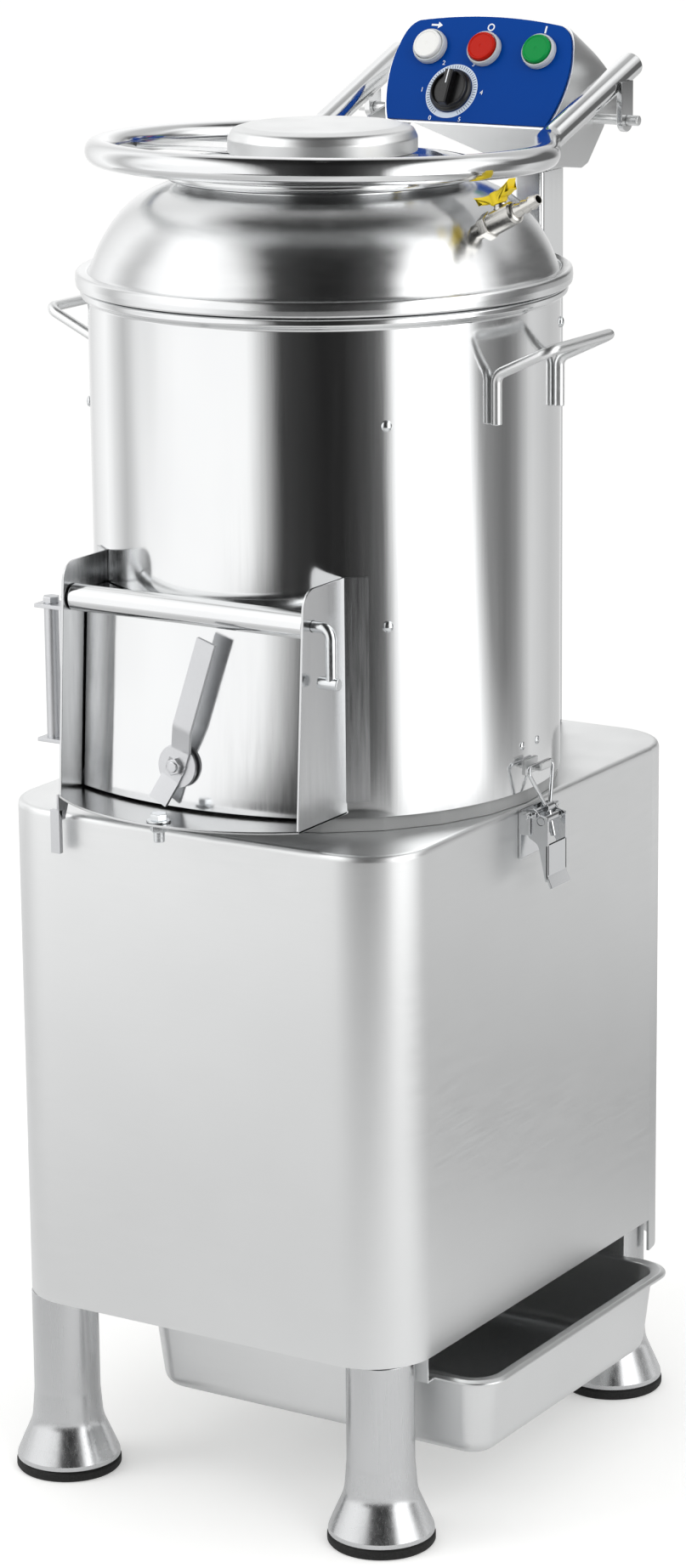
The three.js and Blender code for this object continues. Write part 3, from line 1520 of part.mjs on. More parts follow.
const strikerSolid = () => {
  const washerTop = chuteFloor + seat + chuteSheet / 2;
  const headTop = washerTop + nutHeight;
  const nutTop = chuteFloor - chuteSheet - seat;
  const bolt = turned([
    [0, chuteFloor - strikerHang],
    [strikerBolt, chuteFloor - strikerHang],
    [strikerBolt, nutTop],
    [strikerBolt, washerTop],
    [0, washerTop],
  ], tinyTurn);
  return join(
    bolt,
    drum(strikerWasher, chuteFloor + seat, washerTop, smallTurn),
    drum(strikerHead, washerTop - seat, headTop, nutSides),
    drum(strikerHead, nutTop - nutHeight, nutTop, nutSides),
  ).translate([strikerSide, -strikerReach, 0]);
};

// Outlet door: a bowed sheet that leans out at its foot, hung from a sleeve on the hinge rod
const doorHalf = chuteHalf - chuteSheet - slack;
const doorPanelSolid = () => {
  const centre = -doorFootReach + doorPlanRadius;
  const spread = Math.asin(doorHalf / doorPlanRadius);
  const outline = new THREE.Shape();
  outline.absarc(0, centre, doorPlanRadius, -Math.PI / 2 - spread, -Math.PI / 2 + spread, false);
  outline.absarc(0, centre, doorPlanRadius - doorSheet, -Math.PI / 2 + spread, -Math.PI / 2 - spread, true);
  outline.closePath();
  const top = hingeZ + webThickness;
  const lean = (doorFootReach - doorHeadReach) / (top - doorFoot);
  const geometry = extruded(outline, doorFoot, top, smallTurn);
  const shear = new THREE.Matrix4().set(1, 0, 0, 0, 0, 1, lean, -lean * doorFoot, 0, 0, 1, 0, 0, 0, 0, 1);
  return solid(geometry.applyMatrix4(shear));
};

const outletDoor = () => {
  const left = [-doorHalf, -hingeReach, hingeZ];
  const sleeve = rodBetween(left, [doorHalf, -hingeReach, hingeZ], sleeveRadius, smallTurn);
  const webTop = hingeZ + sleeveRadius / 3;
  const low = [-doorHalf, -hingeReach, webTop - webThickness];
  const web = cut(
    block(low, [doorHalf, -barrelRadius / 2, webTop]),
    drum(barrelRadius + slack, webTop - 2 * overrun, webTop + overrun, fullTurn),
  );
  const bore = rodBetween(
    [-crankSide, -hingeReach, hingeZ],
    [crankSide, -hingeReach, hingeZ],
    turningBore(hingeRod, rodFit, smallTurn),
    smallTurn,
  );
  return cut(join(doorPanelSolid(), sleeve, web), bore);
};

// Door pin: a rod through cheeks and sleeve, with a nut on the left and a cranked end with a cross knob
const doorPin = () => {
  const foot = hingeZ - crankDrop;
  const route = rounded([
    new THREE.Vector3(-chuteHalf - nutHeight - 2 * seat, -hingeReach, hingeZ),
    new THREE.Vector3(crankSide, -hingeReach, hingeZ),
    new THREE.Vector3(crankSide, -hingeReach, foot),
  ], 2 * hingeRod, 3);
  const nutFace = -chuteHalf - seat;
  const nutEnd = nutFace - nutHeight;
  const knobStart = crankSide - crankKnobLength * crankKnobShare;
  const knobFrom = [knobStart, -hingeReach, foot];
  const knobTo = [knobStart + crankKnobLength, -hingeReach, foot];
  return join(
    bentRod(route, hingeRod, smallTurn, new THREE.Vector3(0, 1, 0)),
    rodBetween([nutEnd, -hingeReach, hingeZ], [nutFace, -hingeReach, hingeZ], nutRadius, nutSides),
    rodBetween(knobFrom, knobTo, crankKnob, tinyTurn),
  );
};

// Door lever: a flat bar that stands off the door, turning on a disc, with a twisted tail above the striker
const leverFrame = () => {
  const rise = hingeZ + webThickness - doorFoot;
  const lean = Math.atan2(doorFootReach - doorHeadReach, rise);
  const right = new THREE.Vector3(1, 0, 0);
  const upSlope = new THREE.Vector3(0, Math.sin(lean), Math.cos(lean));
  const outward = new THREE.Vector3(0, -Math.cos(lean), Math.sin(lean));
  const y = -doorFootReach + Math.tan(lean) * (leverZ - doorFoot);
  return new THREE.Matrix4().makeBasis(right, upSlope, outward).setPosition(leverSide, y, leverZ);
};

const flatBar = (from, to, width, thickness) => {
  const start = new THREE.Vector3(...from);
  const end = new THREE.Vector3(...to);
  const along = end.clone().sub(start);
  const length = along.length();
  along.normalize();
  const across = new THREE.Vector3(0, 0, 1).cross(along).normalize();
  const face = along.clone().cross(across);
  const middle = start.add(end).multiplyScalar(1 / 2);
  const frame = new THREE.Matrix4().makeBasis(along, across, face).setPosition(middle);
  return solid(new THREE.BoxGeometry(length, width, thickness).applyMatrix4(frame));
};

const doorLever = () => {
  const lean = radians(leverLean);
  const towards = (distance, height) =>
    [distance * Math.sin(lean), distance * Math.cos(lean), height];
  const thick = leverSheet;
  const foot = seat + thick;
  const tailLean = radians(leverLean + leverLean / 2);
  const tailEnd = [-leverTail * Math.sin(tailLean), -leverTail * Math.cos(tailLean), foot + leverLift / 2];
  const [stepFoot, stepHead] = leverStepShares;
  const barEnd = towards(leverLength, leverLift + thick / 2);
  return join(
    drum(leverDisc, seat + slack, seat + slack + thick, smallTurn),
    drum(strikerBolt, seat, foot + nutHeight, tinyTurn),
    drum(nutRadius, foot, foot + nutHeight + slack, nutSides),
    flatBar([0, 0, foot], towards(leverWidth, foot + thick / 2), leverWidth, thick),
    flatBar(towards(leverWidth * stepFoot, foot), towards(leverWidth * 2, leverLift), leverWidth, thick),
    flatBar(towards(leverWidth * stepHead, leverLift), barEnd, leverWidth, thick),
    flatBar([0, 0, foot], tailEnd, leverWidth, thick),
  );
};

// Stay bar: a sleeved rod between two lugs on the chute's left cheek, with a strip and strap below
const chuteStay = () => {
  const face = -chuteHalf - seat;
  const reach = -staySide - stayLugReach;
  const y = -hingeReach + stayRod;
  const lugHalf = stayLugReach;
  const lug = (z) => block([reach, y - lugHalf, z], [face, y + lugHalf, z + stayLug]);
  const stripBack = -chuteTopReach + stayStrip;
  const gusset = [
    [-chuteFootReach + stayStrip, chuteFloor],
    [-chuteFootReach, chuteFloor],
    [-chuteFootReach, stripFoot + tailStrap],
    [-chuteFootReach + tailStrap / 2, stripFoot],
  ];
  const strapBack = -chuteFootReach + tailStrap / 2;
  const rodFoot = stayFootZ + stayLug / 2;
  return join(
    lug(stayTopZ),
    lug(stayFootZ),
    rodBetween([-staySide, y, rodFoot], [-staySide, y, stayTopZ + stayLug / 2], stayRod, smallTurn),
    rodBetween([-staySide, y, stayTopZ], [-staySide, y, stayTopZ + stayLug + nutHeight], nutRadius, nutSides),
    block([face - chuteSheet, -chuteTopReach, chuteFloor], [face, stripBack, stayTopZ + stayLug]),
    sidePlate(gusset, face - chuteSheet, face),
    block([face - chuteSheet, -chuteFootReach, tailStrapFoot], [face, strapBack, stripFoot + tailStrap]),
  );
};

// Side handles: bent rod with two upright feet on the barrel and a grip that stands out and up
const sideHandle = (side) => {
  const half = handleSpan / 2;
  const wall = Math.sqrt(barrelRadius ** 2 - half ** 2) + handleRod + seat;
  const grip = wall + handleOut;
  const gripZ = handleBendZ + handleUp;
  const at = (x, y, z) => new THREE.Vector3(side * x, y, z);
  const corners = [
    at(wall, -half, handleFootZ),
    at(wall, -half, handleBendZ),
    at(grip, -half, gripZ),
    at(grip, half, gripZ),
    at(wall, half, handleBendZ),
    at(wall, half, handleFootZ),
  ];
  return bentRod(rounded(corners, handleBend, 3), handleRod, tinyTurn, new THREE.Vector3(0, 1, 0));
};

// Toggle latches: a base with ears on the cabinet's side, a channel lever on a pin, and a wire bail on a
// threaded tie rod that pulls the barrel's strike down
const latchBase = () => {
  const back = cabinetWidth / 2 + seat;
  const front = back + latchSheet;
  const top = latchPivotZ;
  const ear = (side) => {
    const outer = side * latchBaseHalf;
    const inner = side * (latchBaseHalf - latchSheet);
    const [from, to] = [Math.min(inner, outer), Math.max(inner, outer)];
    const foot = latchPivotZ - 2 * trunnionReach;
    const tip = latchPivotSide + 2 * latchPin;
    return join(
      block([back, from, foot], [latchPivotSide, to, top]),
      block([latchPivotSide - seat, from, latchPivotZ - 2 * latchPin], [tip, to, top]),
    );
  };
  const pin = rodBetween(
    [latchPivotSide, -latchPinHalf, latchPivotZ - latchPin],
    [latchPivotSide, latchPinHalf, latchPivotZ - latchPin],
    latchPin,
    tinyTurn,
  );
  return join(
    block([back, -latchBaseHalf, latchBaseFoot], [front, latchBaseHalf, top]),
    ear(-1),
    ear(1),
    pin,
  );
};

const latchAxisZ = latchPivotZ - latchPin;
const trunnion = () => {
  const angle = radians(trunnionAngle);
  return [latchPivotSide + trunnionReach * Math.sin(angle), latchAxisZ - trunnionReach * Math.cos(angle)];
};

const latchLever = () => {
  const [trunnionSide, trunnionZ] = trunnion();
  const cheekBack = latchPivotSide - 2 * latchPin;
  const cheek = (side) => {
    const outer = side * leverCheekHalf;
    const inner = side * (leverCheekHalf - latchSheet);
    const [from, to] = [Math.min(inner, outer), Math.max(inner, outer)];
    const head = 2 * latchPin;
    return join(
      block([cheekBack, from, latchWindowFoot], [latchWebSide, to, latchAxisZ]),
      block([latchPivotSide, from, latchLeverFoot + overrun], [latchWebSide, to, latchWindowFoot + seat]),
      rodBetween([latchPivotSide, from, latchAxisZ], [latchPivotSide, to, latchAxisZ], head, smallTurn),
    );
  };
  const web = block(
    [latchWebSide - latchSheet, -leverCheekHalf, latchLeverFoot],
    [latchWebSide, leverCheekHalf, latchWindowFoot],
  );
  const curl = [
    [latchWebSide - latchSheet, latchLeverFoot + latchSheet],
    [latchWebSide, latchLeverFoot + 2 * latchSheet],
    [latchWebSide + 2 * latchSheet, latchLeverFoot - 2 * latchSheet],
    [latchWebSide + latchSheet, latchLeverFoot - 3 * latchSheet],
  ];
  const tip = frontPlate(curl, -leverCheekHalf * latchTipShare, leverCheekHalf * latchTipShare);
  const pinBore = rodBetween(
    [latchPivotSide, -latchPinHalf, latchAxisZ],
    [latchPivotSide, latchPinHalf, latchAxisZ],
    latchPin + seat,
    smallTurn,
  );
  const trunnionBore = rodBetween(
    [trunnionSide, -latchPinHalf, trunnionZ],
    [trunnionSide, latchPinHalf, trunnionZ],
    trunnionRadius + seat,
    smallTurn,
  );
  return cut(join(cheek(-1), cheek(1), web, tip), pinBore, trunnionBore);
};

const bailWireSide = barrelRadius + seat + strikeSheet + strikeLedge * bailSeatShare;
const bailWireZ = strikeFoot + strikeSheet + bailWire + seat;
const latchBail = () => {
  const [side, z] = trunnion();
  const along = new THREE.Vector2(bailWireSide - side, bailWireZ - z).normalize();
  const on = (distance) => [side + along.x * distance, 0, z + along.y * distance];
  const reach = Math.hypot(bailWireSide - side, bailWireZ - z);
  const neck = on(reach * bailNeckShare);
  const beside = (offset) => [neck[0], offset, neck[2]];
  const [shoulderSide, , shoulderZ] = on(reach * bailShoulderShare);
  const places = [
    beside(bailNutHalf / 2),
    [shoulderSide, bailHalf, shoulderZ],
    [bailWireSide, bailHalf, bailWireZ],
    [bailWireSide, -bailHalf, bailWireZ],
    [shoulderSide, -bailHalf, shoulderZ],
    beside(-bailNutHalf / 2),
  ].map((place) => new THREE.Vector3(...place));
  const outward = new THREE.Vector3(along.y, 0, -along.x);
  return join(
    rodBetween([side, -leverCheekHalf, z], [side, leverCheekHalf, z], trunnionRadius, smallTurn),
    rodBetween(on(-tieRodTail), neck, tieRod, tinyTurn),
    rodBetween(beside(-bailNutHalf), beside(bailNutHalf), bailNut, tinyTurn),
    bentRod(rounded(places, 2 * bailWire, 2), bailWire, bailWireSides, outward),
  );
};

const latches = () => {
  const group = new THREE.Group();
  for (const [name, turn] of [['right', 0], ['left', Math.PI]]) {
    const latch = new THREE.Group();
    latch.rotation.z = turn;
    latch.add(
      part(`latch_base_${name}`, latchBase(), zincSteel),
      part(`latch_lever_${name}`, latchLever(), zincSteel),
      part(`latch_bail_${name}`, latchBail(), zincSteel),
    );
    group.add(latch);
  }
  return group;
};

// The machine, put together from the floor up
const machine = new THREE.Group();
machine.add(
  legs(),
  part('cabinet_shell', cabinetShell(), satinSteel),
  part('rear_cover', rearCover(), satinSteel),
  part('tray_runner_front', trayRunner(runnerFront, 1), brushedSteel),
  part('tray_runner_rear', trayRunner(runnerRear, -1), brushedSteel),
  part('catch_tray', catchTray(), satinSteel),
);

machine.add(
  part('drain_pan', drainPan(), brushedSteel),
  part('bearing_housing', bearingHousing(), castMetal),
  part('lower_bearing', bearing(housingFoot + bearingInset), zincSteel),
  part('upper_bearing', bearing(housingTop - housingLip - bearingInset - bearingHeight), zincSteel),
  part('drive_shaft', driveShaft(), brushedSteel),
  part('large_pulley', largePulley(), castMetal),
  part('v_belt', vBelt(), blackRubber),
  part('abrasive_disc', abrasiveDisc(), abrasive),
  part('disc_lock_nut', lockNut(), polishedSteel),
);

const drive = new THREE.Group();
drive.position.y = motorBack;
drive.add(part('motor', motorSolid(), motorPaint), part('motor_pulley', motorPulleySolid(), castMetal));
machine.add(drive, part('motor_bracket', motorBracket(), brushedSteel));

machine.add(
  part('barrel_seat_ring', seatRing(), blackRubber),
  part('barrel_shell', barrelShell(), polishedSteel),
  part('abrasive_liner', abrasiveLiner(), abrasive),
  part('dome_cover', domeCover(), polishedSteel),
  waterValve(),
  part('side_handle_left', sideHandle(-1), polishedSteel),
  part('side_handle_right', sideHandle(1), polishedSteel),
);

machine.add(
  part('lid', lidSolid(), polishedSteel),
  part('lid_cap', lidCap(), polishedSteel),
  part('hoop_handle', hoopHandle(), polishedSteel),
);

for (const [name, side] of [['left', -1], ['right', 1]]) {
  const bracket = part(`hinge_bracket_${name}`, hingeBracket(side), satinSteel);
  bracket.position.set(0, pivotBack, pivotZ);
  machine.add(bracket);
}

machine.add(
  part('post', postSolid(), polishedSteel),
  part('control_box', controlBox(), satinSteel),
  panelFittings(),
);

machine.add(
  part('outlet_chute', outletChute(), satinSteel),
  part('outlet_door', outletDoor(), polishedSteel),
  part('door_pin', doorPin(), brushedSteel),
  part('striker_bolt', strikerSolid(), zincSteel),
  part('chute_stay', chuteStay(), zincSteel),
);

const lever = part('door_lever', doorLever(), satinSteel);
lever.applyMatrix4(leverFrame());
machine.add(lever, latches());

// Origin: on the floor, under the middle of the machine's whole outline
const bounds = new THREE.Box3().setFromObject(machine, true);
const middle = bounds.getCenter(new THREE.Vector3());
machine.position.set(-middle.x, -middle.y, -bounds.min.z);
machine.updateMatrixWorld(true);

export default machine;
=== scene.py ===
import math

import bmesh
import bpy
from mathutils import Matrix, Vector


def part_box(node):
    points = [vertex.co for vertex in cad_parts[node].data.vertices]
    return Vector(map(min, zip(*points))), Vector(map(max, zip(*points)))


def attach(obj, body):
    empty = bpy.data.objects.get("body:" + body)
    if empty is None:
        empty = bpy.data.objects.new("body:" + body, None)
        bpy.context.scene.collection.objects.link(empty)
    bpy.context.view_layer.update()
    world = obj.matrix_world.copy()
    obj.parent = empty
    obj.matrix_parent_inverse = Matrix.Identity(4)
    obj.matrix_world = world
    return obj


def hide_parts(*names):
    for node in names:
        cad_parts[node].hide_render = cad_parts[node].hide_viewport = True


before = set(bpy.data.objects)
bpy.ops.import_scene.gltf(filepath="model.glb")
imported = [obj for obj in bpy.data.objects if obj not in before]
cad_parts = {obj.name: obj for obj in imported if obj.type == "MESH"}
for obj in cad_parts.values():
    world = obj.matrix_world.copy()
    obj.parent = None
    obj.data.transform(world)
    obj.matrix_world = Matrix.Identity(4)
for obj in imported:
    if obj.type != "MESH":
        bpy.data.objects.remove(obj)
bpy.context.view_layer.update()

# Camera: a long lens a little above the lid, 32 degrees round to the machine's right.
# Places are in millimetres from the barrel's axis and the floor, as a fitter would measure them.
mm = 0.001
dome_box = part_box("dome_cover")
axis_y = (dome_box[0][1] + dome_box[1][1]) / 2


def at(x, y, z):
    return Vector((x * mm, axis_y + y * mm, z * mm))


photo_height = 1845
focal_pixels = 5312
film_width = 36
camera_turn = math.radians(31.93)
camera_tip = math.radians(14.54)
camera_roll = math.radians(-0.59)
back = Vector((math.sin(camera_turn), -math.cos(camera_turn), 0)) * math.cos(camera_tip)
back.z = math.sin(camera_tip)
level = Vector((math.cos(camera_turn), math.sin(camera_turn), 0))
upright = back.cross(level)
right = level * math.cos(camera_roll) + upright * math.sin(camera_roll)
upright = upright * math.cos(camera_roll) - level * math.sin(camera_roll)
lens = bpy.data.cameras.new("camera")
lens.sensor_width = film_width
lens.lens = focal_pixels / photo_height * film_width
lens.clip_end = 50
camera = bpy.data.objects.new("camera", lens)
turn = Matrix((right, upright, back)).transposed().to_4x4()
camera.matrix_world = Matrix.Translation(at(1766.7, -2815.9, 1386.8)) @ turn
bpy.context.scene.collection.objects.link(camera)
bpy.context.scene.camera = camera
bpy.context.scene.view_settings.view_transform = "Standard"


# Cabinet: stainless sheet 2 mm thick, wrapped round upright corners of 50 mm and welded to its deck.
# The deck's edge is dressed to a soft radius; below, lips turn in and a deeper skirt hangs at the rear.
def linear(code):
    channels = [int(code[i:i + 2], 16) / 255 for i in (1, 3, 5)]
    return tuple(c / 12.92 if c <= 0.04045 else ((c + 0.055) / 1.055) ** 2.4 for c in channels) + (1.0,)


def node(tree, kind, links=None, values=None, **settings):
    made = tree.nodes.new(kind)
    for key, value in settings.items():
        setattr(made, key, value)
    for key, value in (values or {}).items():
        made.inputs[key].default_value = value
    for key, source in (links or {}).items():
        tree.links.new(source, made.inputs[key])
    return made


def new_material(name, **values):
    material = bpy.data.materials.new(name)
    material.use_nodes = True
    tree = material.node_tree
    tree.nodes.clear()
    settings = {key.replace("_", " "): value for key, value in values.items()}
    shader = node(tree, "ShaderNodeBsdfPrincipled", values=settings)
    node(tree, "ShaderNodeOutputMaterial", {"Surface": shader.outputs["BSDF"]})
    return material, tree, shader


def scratched(tree, shader, spacing, stretch, rough, relief, colours):
    """Grinding or polishing lines: spacing in mm, stretch along X, Y and Z, and what they change."""
    place = node(tree, "ShaderNodeTexCoord")
    along = node(tree, "ShaderNodeMapping", {"Vector": place.outputs["Object"]}, {"Scale": stretch})
    lines = node(tree, "ShaderNodeTexNoise", {"Vector": along.outputs["Vector"]},
                 {"Scale": 1 / (spacing * mm), "Detail": 3.0, "Roughness": 0.55})
    spread = node(tree, "ShaderNodeMapRange", {"Value": lines.outputs["Fac"]},
                  {"From Min": 0.3, "From Max": 0.7, "To Min": rough[0], "To Max": rough[1]})
    tree.links.new(spread.outputs["Result"], shader.inputs["Roughness"])
    if relief:
        bump = node(tree, "ShaderNodeBump", {"Height": lines.outputs["Fac"]},
                    {"Strength": relief, "Distance": spacing * mm})
        tree.links.new(bump.outputs["Normal"], shader.inputs["Normal"])
    cloud = node(tree, "ShaderNodeTexNoise", {"Vector": place.outputs["Object"]},
                 {"Scale": 9.0, "Detail": 2.0})
    mixed = node(tree, "ShaderNodeMix", {0: cloud.outputs["Fac"]},
                 {6: linear(colours[0]), 7: linear(colours[1])}, data_type="RGBA")
    tree.links.new(mixed.outputs[2], shader.inputs["Base Color"])


# Stainless with a ground satin face: fine level lines, drawn about three times as coarse as they are.
# They spread each reflection into a soft pale sheen.
satin_steel, tree, shader = new_material("stainless_ground_satin", Metallic=1.0)
scratched(tree, shader, 1.6, (0.05, 0.05, 1), (0.33, 0.42), 0.02, ("#EDEEEE", "#F3F4F4"))


def bend(start, corner, end, steps):
    """Points of a curve that leaves the start towards the corner and comes to the end from it."""
    points = []
    for k in range(steps + 1):
        t = k / steps
        points.append(tuple(start * (1 - t) ** 2 + corner * 2 * t * (1 - t) + end * t ** 2))
    return points


def softened(corners, steps):
    """An outline or section from (a, b, radius) corners, each rounded by its own radius."""
    points = []
    for i, (a, b, radius) in enumerate(corners):
        here = Vector((a, b))
        before = Vector(corners[i - 1][:2]) - here
        after = Vector(corners[(i + 1) % len(corners)][:2]) - here
        if radius <= 0:
            points.append((a, b))
            continue
        half = before.angle(after) / 2
        reach = min(radius / math.tan(half), before.length * 0.49, after.length * 0.49)
        points += bend(here + before.normalized() * reach, here, here + after.normalized() * reach, steps)
    return points


def sheet_outline(low, high, radius, corner_steps=12, side_steps=24):
    """Points of a rounded rectangle, in step with one another whatever its size."""
    points = []
    corners = ((high[0], high[1]), (low[0], high[1]), (low[0], low[1]), (high[0], low[1]))
    for quarter, (x, y) in enumerate(corners):
        middle = Vector((x - radius if x == high[0] else x + radius,
                         y - radius if y == high[1] else y + radius))
        arc = []
        for i in range(corner_steps + 1):
            angle = (quarter + i / corner_steps) * math.pi / 2
            arc.append(middle + Vector((math.cos(angle), math.sin(angle))) * radius)
        if points:
            start = points[-1]
            points += [start.lerp(arc[0], k / side_steps) for k in range(1, side_steps)]
        points += arc
    start = points[-1]
    points += [start.lerp(points[0], k / side_steps) for k in range(1, side_steps)]
    return points


def skinned(rings, capped=True, looped=False, bm=None):
    """A skin through outlines with equal counts of points."""
    bm = bm or bmesh.new()
    rows = [[bm.verts.new(p) for p in ring] for ring in rings]
    for low, high in zip(rows, rows[1:] + (rows[:1] if looped else [])):
        for i in range(len(low)):
            j = (i + 1) % len(low)
            bm.faces.new((low[i], low[j], high[j], high[i]))
    if capped and not looped:
        bm.faces.new(list(reversed(rows[0])))
        bm.faces.new(rows[-1])
    return bm


def outward(bm):
    bmesh.ops.recalc_face_normals(bm, faces=bm.faces[:])
    return bm


def worked(name, bm):
    mesh = bpy.data.meshes.new(name)
    bm.to_mesh(mesh)
    bm.free()
    piece = bpy.data.objects.new(name, mesh)
    bpy.context.scene.collection.objects.link(piece)
    return piece


def applied(piece):
    """A piece's modifiers become its mesh."""
    bpy.context.view_layer.update()
    seen = piece.evaluated_get(bpy.context.evaluated_depsgraph_get())
    made = bpy.data.meshes.new_from_object(seen)
    piece.modifiers.clear()
    piece.data = made
    return piece


def cut_by(piece, tool):
    """What a tool's shape covers is taken out of a piece, and the tool is put away."""
    cut = piece.modifiers.new("cut", "BOOLEAN")
    cut.object = tool
    cut.operation = "DIFFERENCE"
    cut.solver = "EXACT"
    applied(piece)
    bpy.data.objects.remove(tool)


def punched(piece, *boxes):
    """Openings cut through sheet, each given by its lowest and highest corner."""
    for low, high in boxes:
        bm = bmesh.new()
        bmesh.ops.create_cube(bm, size=1)
        size = at(*high) - at(*low)
        middle = (at(*high) + at(*low)) / 2
        box_place = Matrix.Translation(middle) @ Matrix.Diagonal((*size, 1))
        bmesh.ops.transform(bm, matrix=box_place, verts=bm.verts)
        cut_by(piece, worked("punch", bm))


def finished(piece, material, body, stands_for=()):
    """A mesh becomes a piece of the machine: smooth where it is round, crisp where it is folded."""
    mesh = piece.data
    mesh.materials.clear()
    mesh.materials.append(material)
    mesh.shade_smooth()
    mesh.set_sharp_from_angle(angle=math.radians(35))
    even = piece.modifiers.new("even_normals", "WEIGHTED_NORMAL")
    even.keep_sharp = True
    even.weight = 80
    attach(piece, body)
    if stands_for:
        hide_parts(*stands_for)


cabinet_low = (-174.5, -196)
cabinet_high = (174.5, 242)
cabinet_corner = 50
cabinet_foot = 144.5
deck_top = 533
deck_radius = 5
deck_band = 20
deck_hole = 150
skirt_foot = 118.5
skirt_front = 193
skirt_join = 200
sheet = 2
lip_reach = 20
rear_opening = ((-118, 230, 214.5), (118, 247, 484.5))


def cabinet_ring(inset, height):
    """The cabinet's outline; points by the skirt's front end are drawn on to its step."""
    outline = sheet_outline([v + inset for v in cabinet_low], [v - inset for v in cabinet_high],
                            max(cabinet_corner - inset, 1))
    for point in outline:
        if abs(point.y - skirt_front) < 1.5:
            point.y = skirt_front
        elif skirt_front < point.y < skirt_join:
            point.xy = math.copysign(cabinet_high[0] - inset, point.x), skirt_front + 0.5
    return [at(p.x, p.y, height(p) if callable(height) else height) for p in outline]


def hem(point):
    return skirt_foot if point.y > skirt_front else cabinet_foot


wall_height = deck_top - cabinet_foot
deck_edge = softened([(0, 0, 0), (0, wall_height, deck_radius), (2 * deck_band, wall_height, 0)], 8)
rings = [cabinet_ring(0, hem)]
for inset, rise in deck_edge:
    if rise > 0 and inset < deck_band:
        rings.append(cabinet_ring(inset, cabinet_foot + rise))
hole = []
for point in cabinet_ring(deck_band, deck_top):
    direction = Vector((point.x, point.y - axis_y)).normalized() * deck_hole
    hole.append(at(direction.x, direction.y, deck_top))
rings += [cabinet_ring(deck_band, deck_top), hole]
cabinet = worked("cabinet_body", skinned(rings, capped=False))
thick = cabinet.modifiers.new("sheet", "SOLIDIFY")
thick.thickness = sheet * mm
thick.offset = -1
thick.use_even_offset = True
applied(cabinet)
bm = bmesh.new()
bm.from_mesh(cabinet.data)
lip_section = softened([(1, cabinet_foot, 0), (lip_reach, cabinet_foot, 0.6),
                        (lip_reach, cabinet_foot + sheet, 0.6), (1, cabinet_foot + sheet, 0)], 3)
skinned([cabinet_ring(inset, z) for inset, z in lip_section], looped=True, bm=bm)
outward(bm).to_mesh(cabinet.data)
bm.free()
punched(cabinet, rear_opening)
finished(cabinet, satin_steel, "root", ("cabinet_shell",))


# Rear cover: a flat service panel of 1.5 mm satin sheet, screwed over the opening in the cabinet's back.
# Two columns of pressed louvres let the motor breathe; a nylon gland takes the cable, which isn't shown.
def refined(name, source, material, body, bevel, segments=2):
    """A node whose shape is right, as a merged copy with its edges eased."""
    bm = bmesh.new()
    bm.from_mesh(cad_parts[source].data)
    bmesh.ops.remove_doubles(bm, verts=bm.verts[:], dist=2e-6)
    bmesh.ops.dissolve_limit(bm, angle_limit=math.radians(0.6), verts=bm.verts[:], edges=bm.edges[:],
                             use_dissolve_boundaries=False)
    edges = [e for e in bm.edges if e.is_manifold and e.calc_face_angle() > math.radians(33)]
    bmesh.ops.bevel(bm, geom=edges, offset=bevel * mm, segments=segments, profile=0.6, affect="EDGES",
                    clamp_overlap=True)
    finished(worked(name, bm), material, body, (source,))


refined("rear_cover_plate", "rear_cover", satin_steel, "root", 0.3)


def grown(name, tree_name, places, build, inputs, material, body):
    """What repeats is grown by nodes on a few guide points, then kept as one plain mesh."""
    tree = bpy.data.node_groups.new(tree_name, "GeometryNodeTree")
    tree.interface.new_socket("Geometry", in_out="INPUT", socket_type="NodeSocketGeometry")
    tree.interface.new_socket("Geometry", in_out="OUTPUT", socket_type="NodeSocketGeometry")
    sockets = {}
    for key in inputs:
        sockets[key] = tree.interface.new_socket(key, in_out="INPUT", socket_type="NodeSocketFloat")
    start = node(tree, "NodeGroupInput")
    shape = build(tree, start)
    real = node(tree, "GeometryNodeRealizeInstances", {"Geometry": shape})
    coat = node(tree, "GeometryNodeSetMaterial", {"Geometry": real.outputs["Geometry"]},
                {"Material": material})
    node(tree, "NodeGroupOutput", {"Geometry": coat.outputs["Geometry"]})
    mesh = bpy.data.meshes.new(name)
    mesh.from_pydata([place for place, direction in places], [], [])
    facing = mesh.attributes.new("facing", "FLOAT_VECTOR", "POINT")
    for i, (place, direction) in enumerate(places):
        facing.data[i].vector = direction
    piece = bpy.data.objects.new(name, mesh)
    bpy.context.scene.collection.objects.link(piece)
    growth = piece.modifiers.new("growth", "NODES")
    growth.node_group = tree
    for key, value in inputs.items():
        growth[sockets[key].identifier] = value * mm
    finished(applied(piece), material, body)


def on_points(tree, start, shape, upward):
    """Instances of a shape, its Z turned along each point's facing."""
    facing = node(tree, "GeometryNodeInputNamedAttribute", values={"Name": "facing"},
                  data_type="FLOAT_VECTOR")
    turned_to = node(tree, "FunctionNodeAlignRotationToVector", {"Vector": facing.outputs["Attribute"]},
                     axis=upward)
    placed = node(tree, "GeometryNodeInstanceOnPoints", {
        "Points": start.outputs["Geometry"], "Instance": shape, "Rotation": turned_to.outputs["Rotation"]})
    return placed.outputs["Instances"]


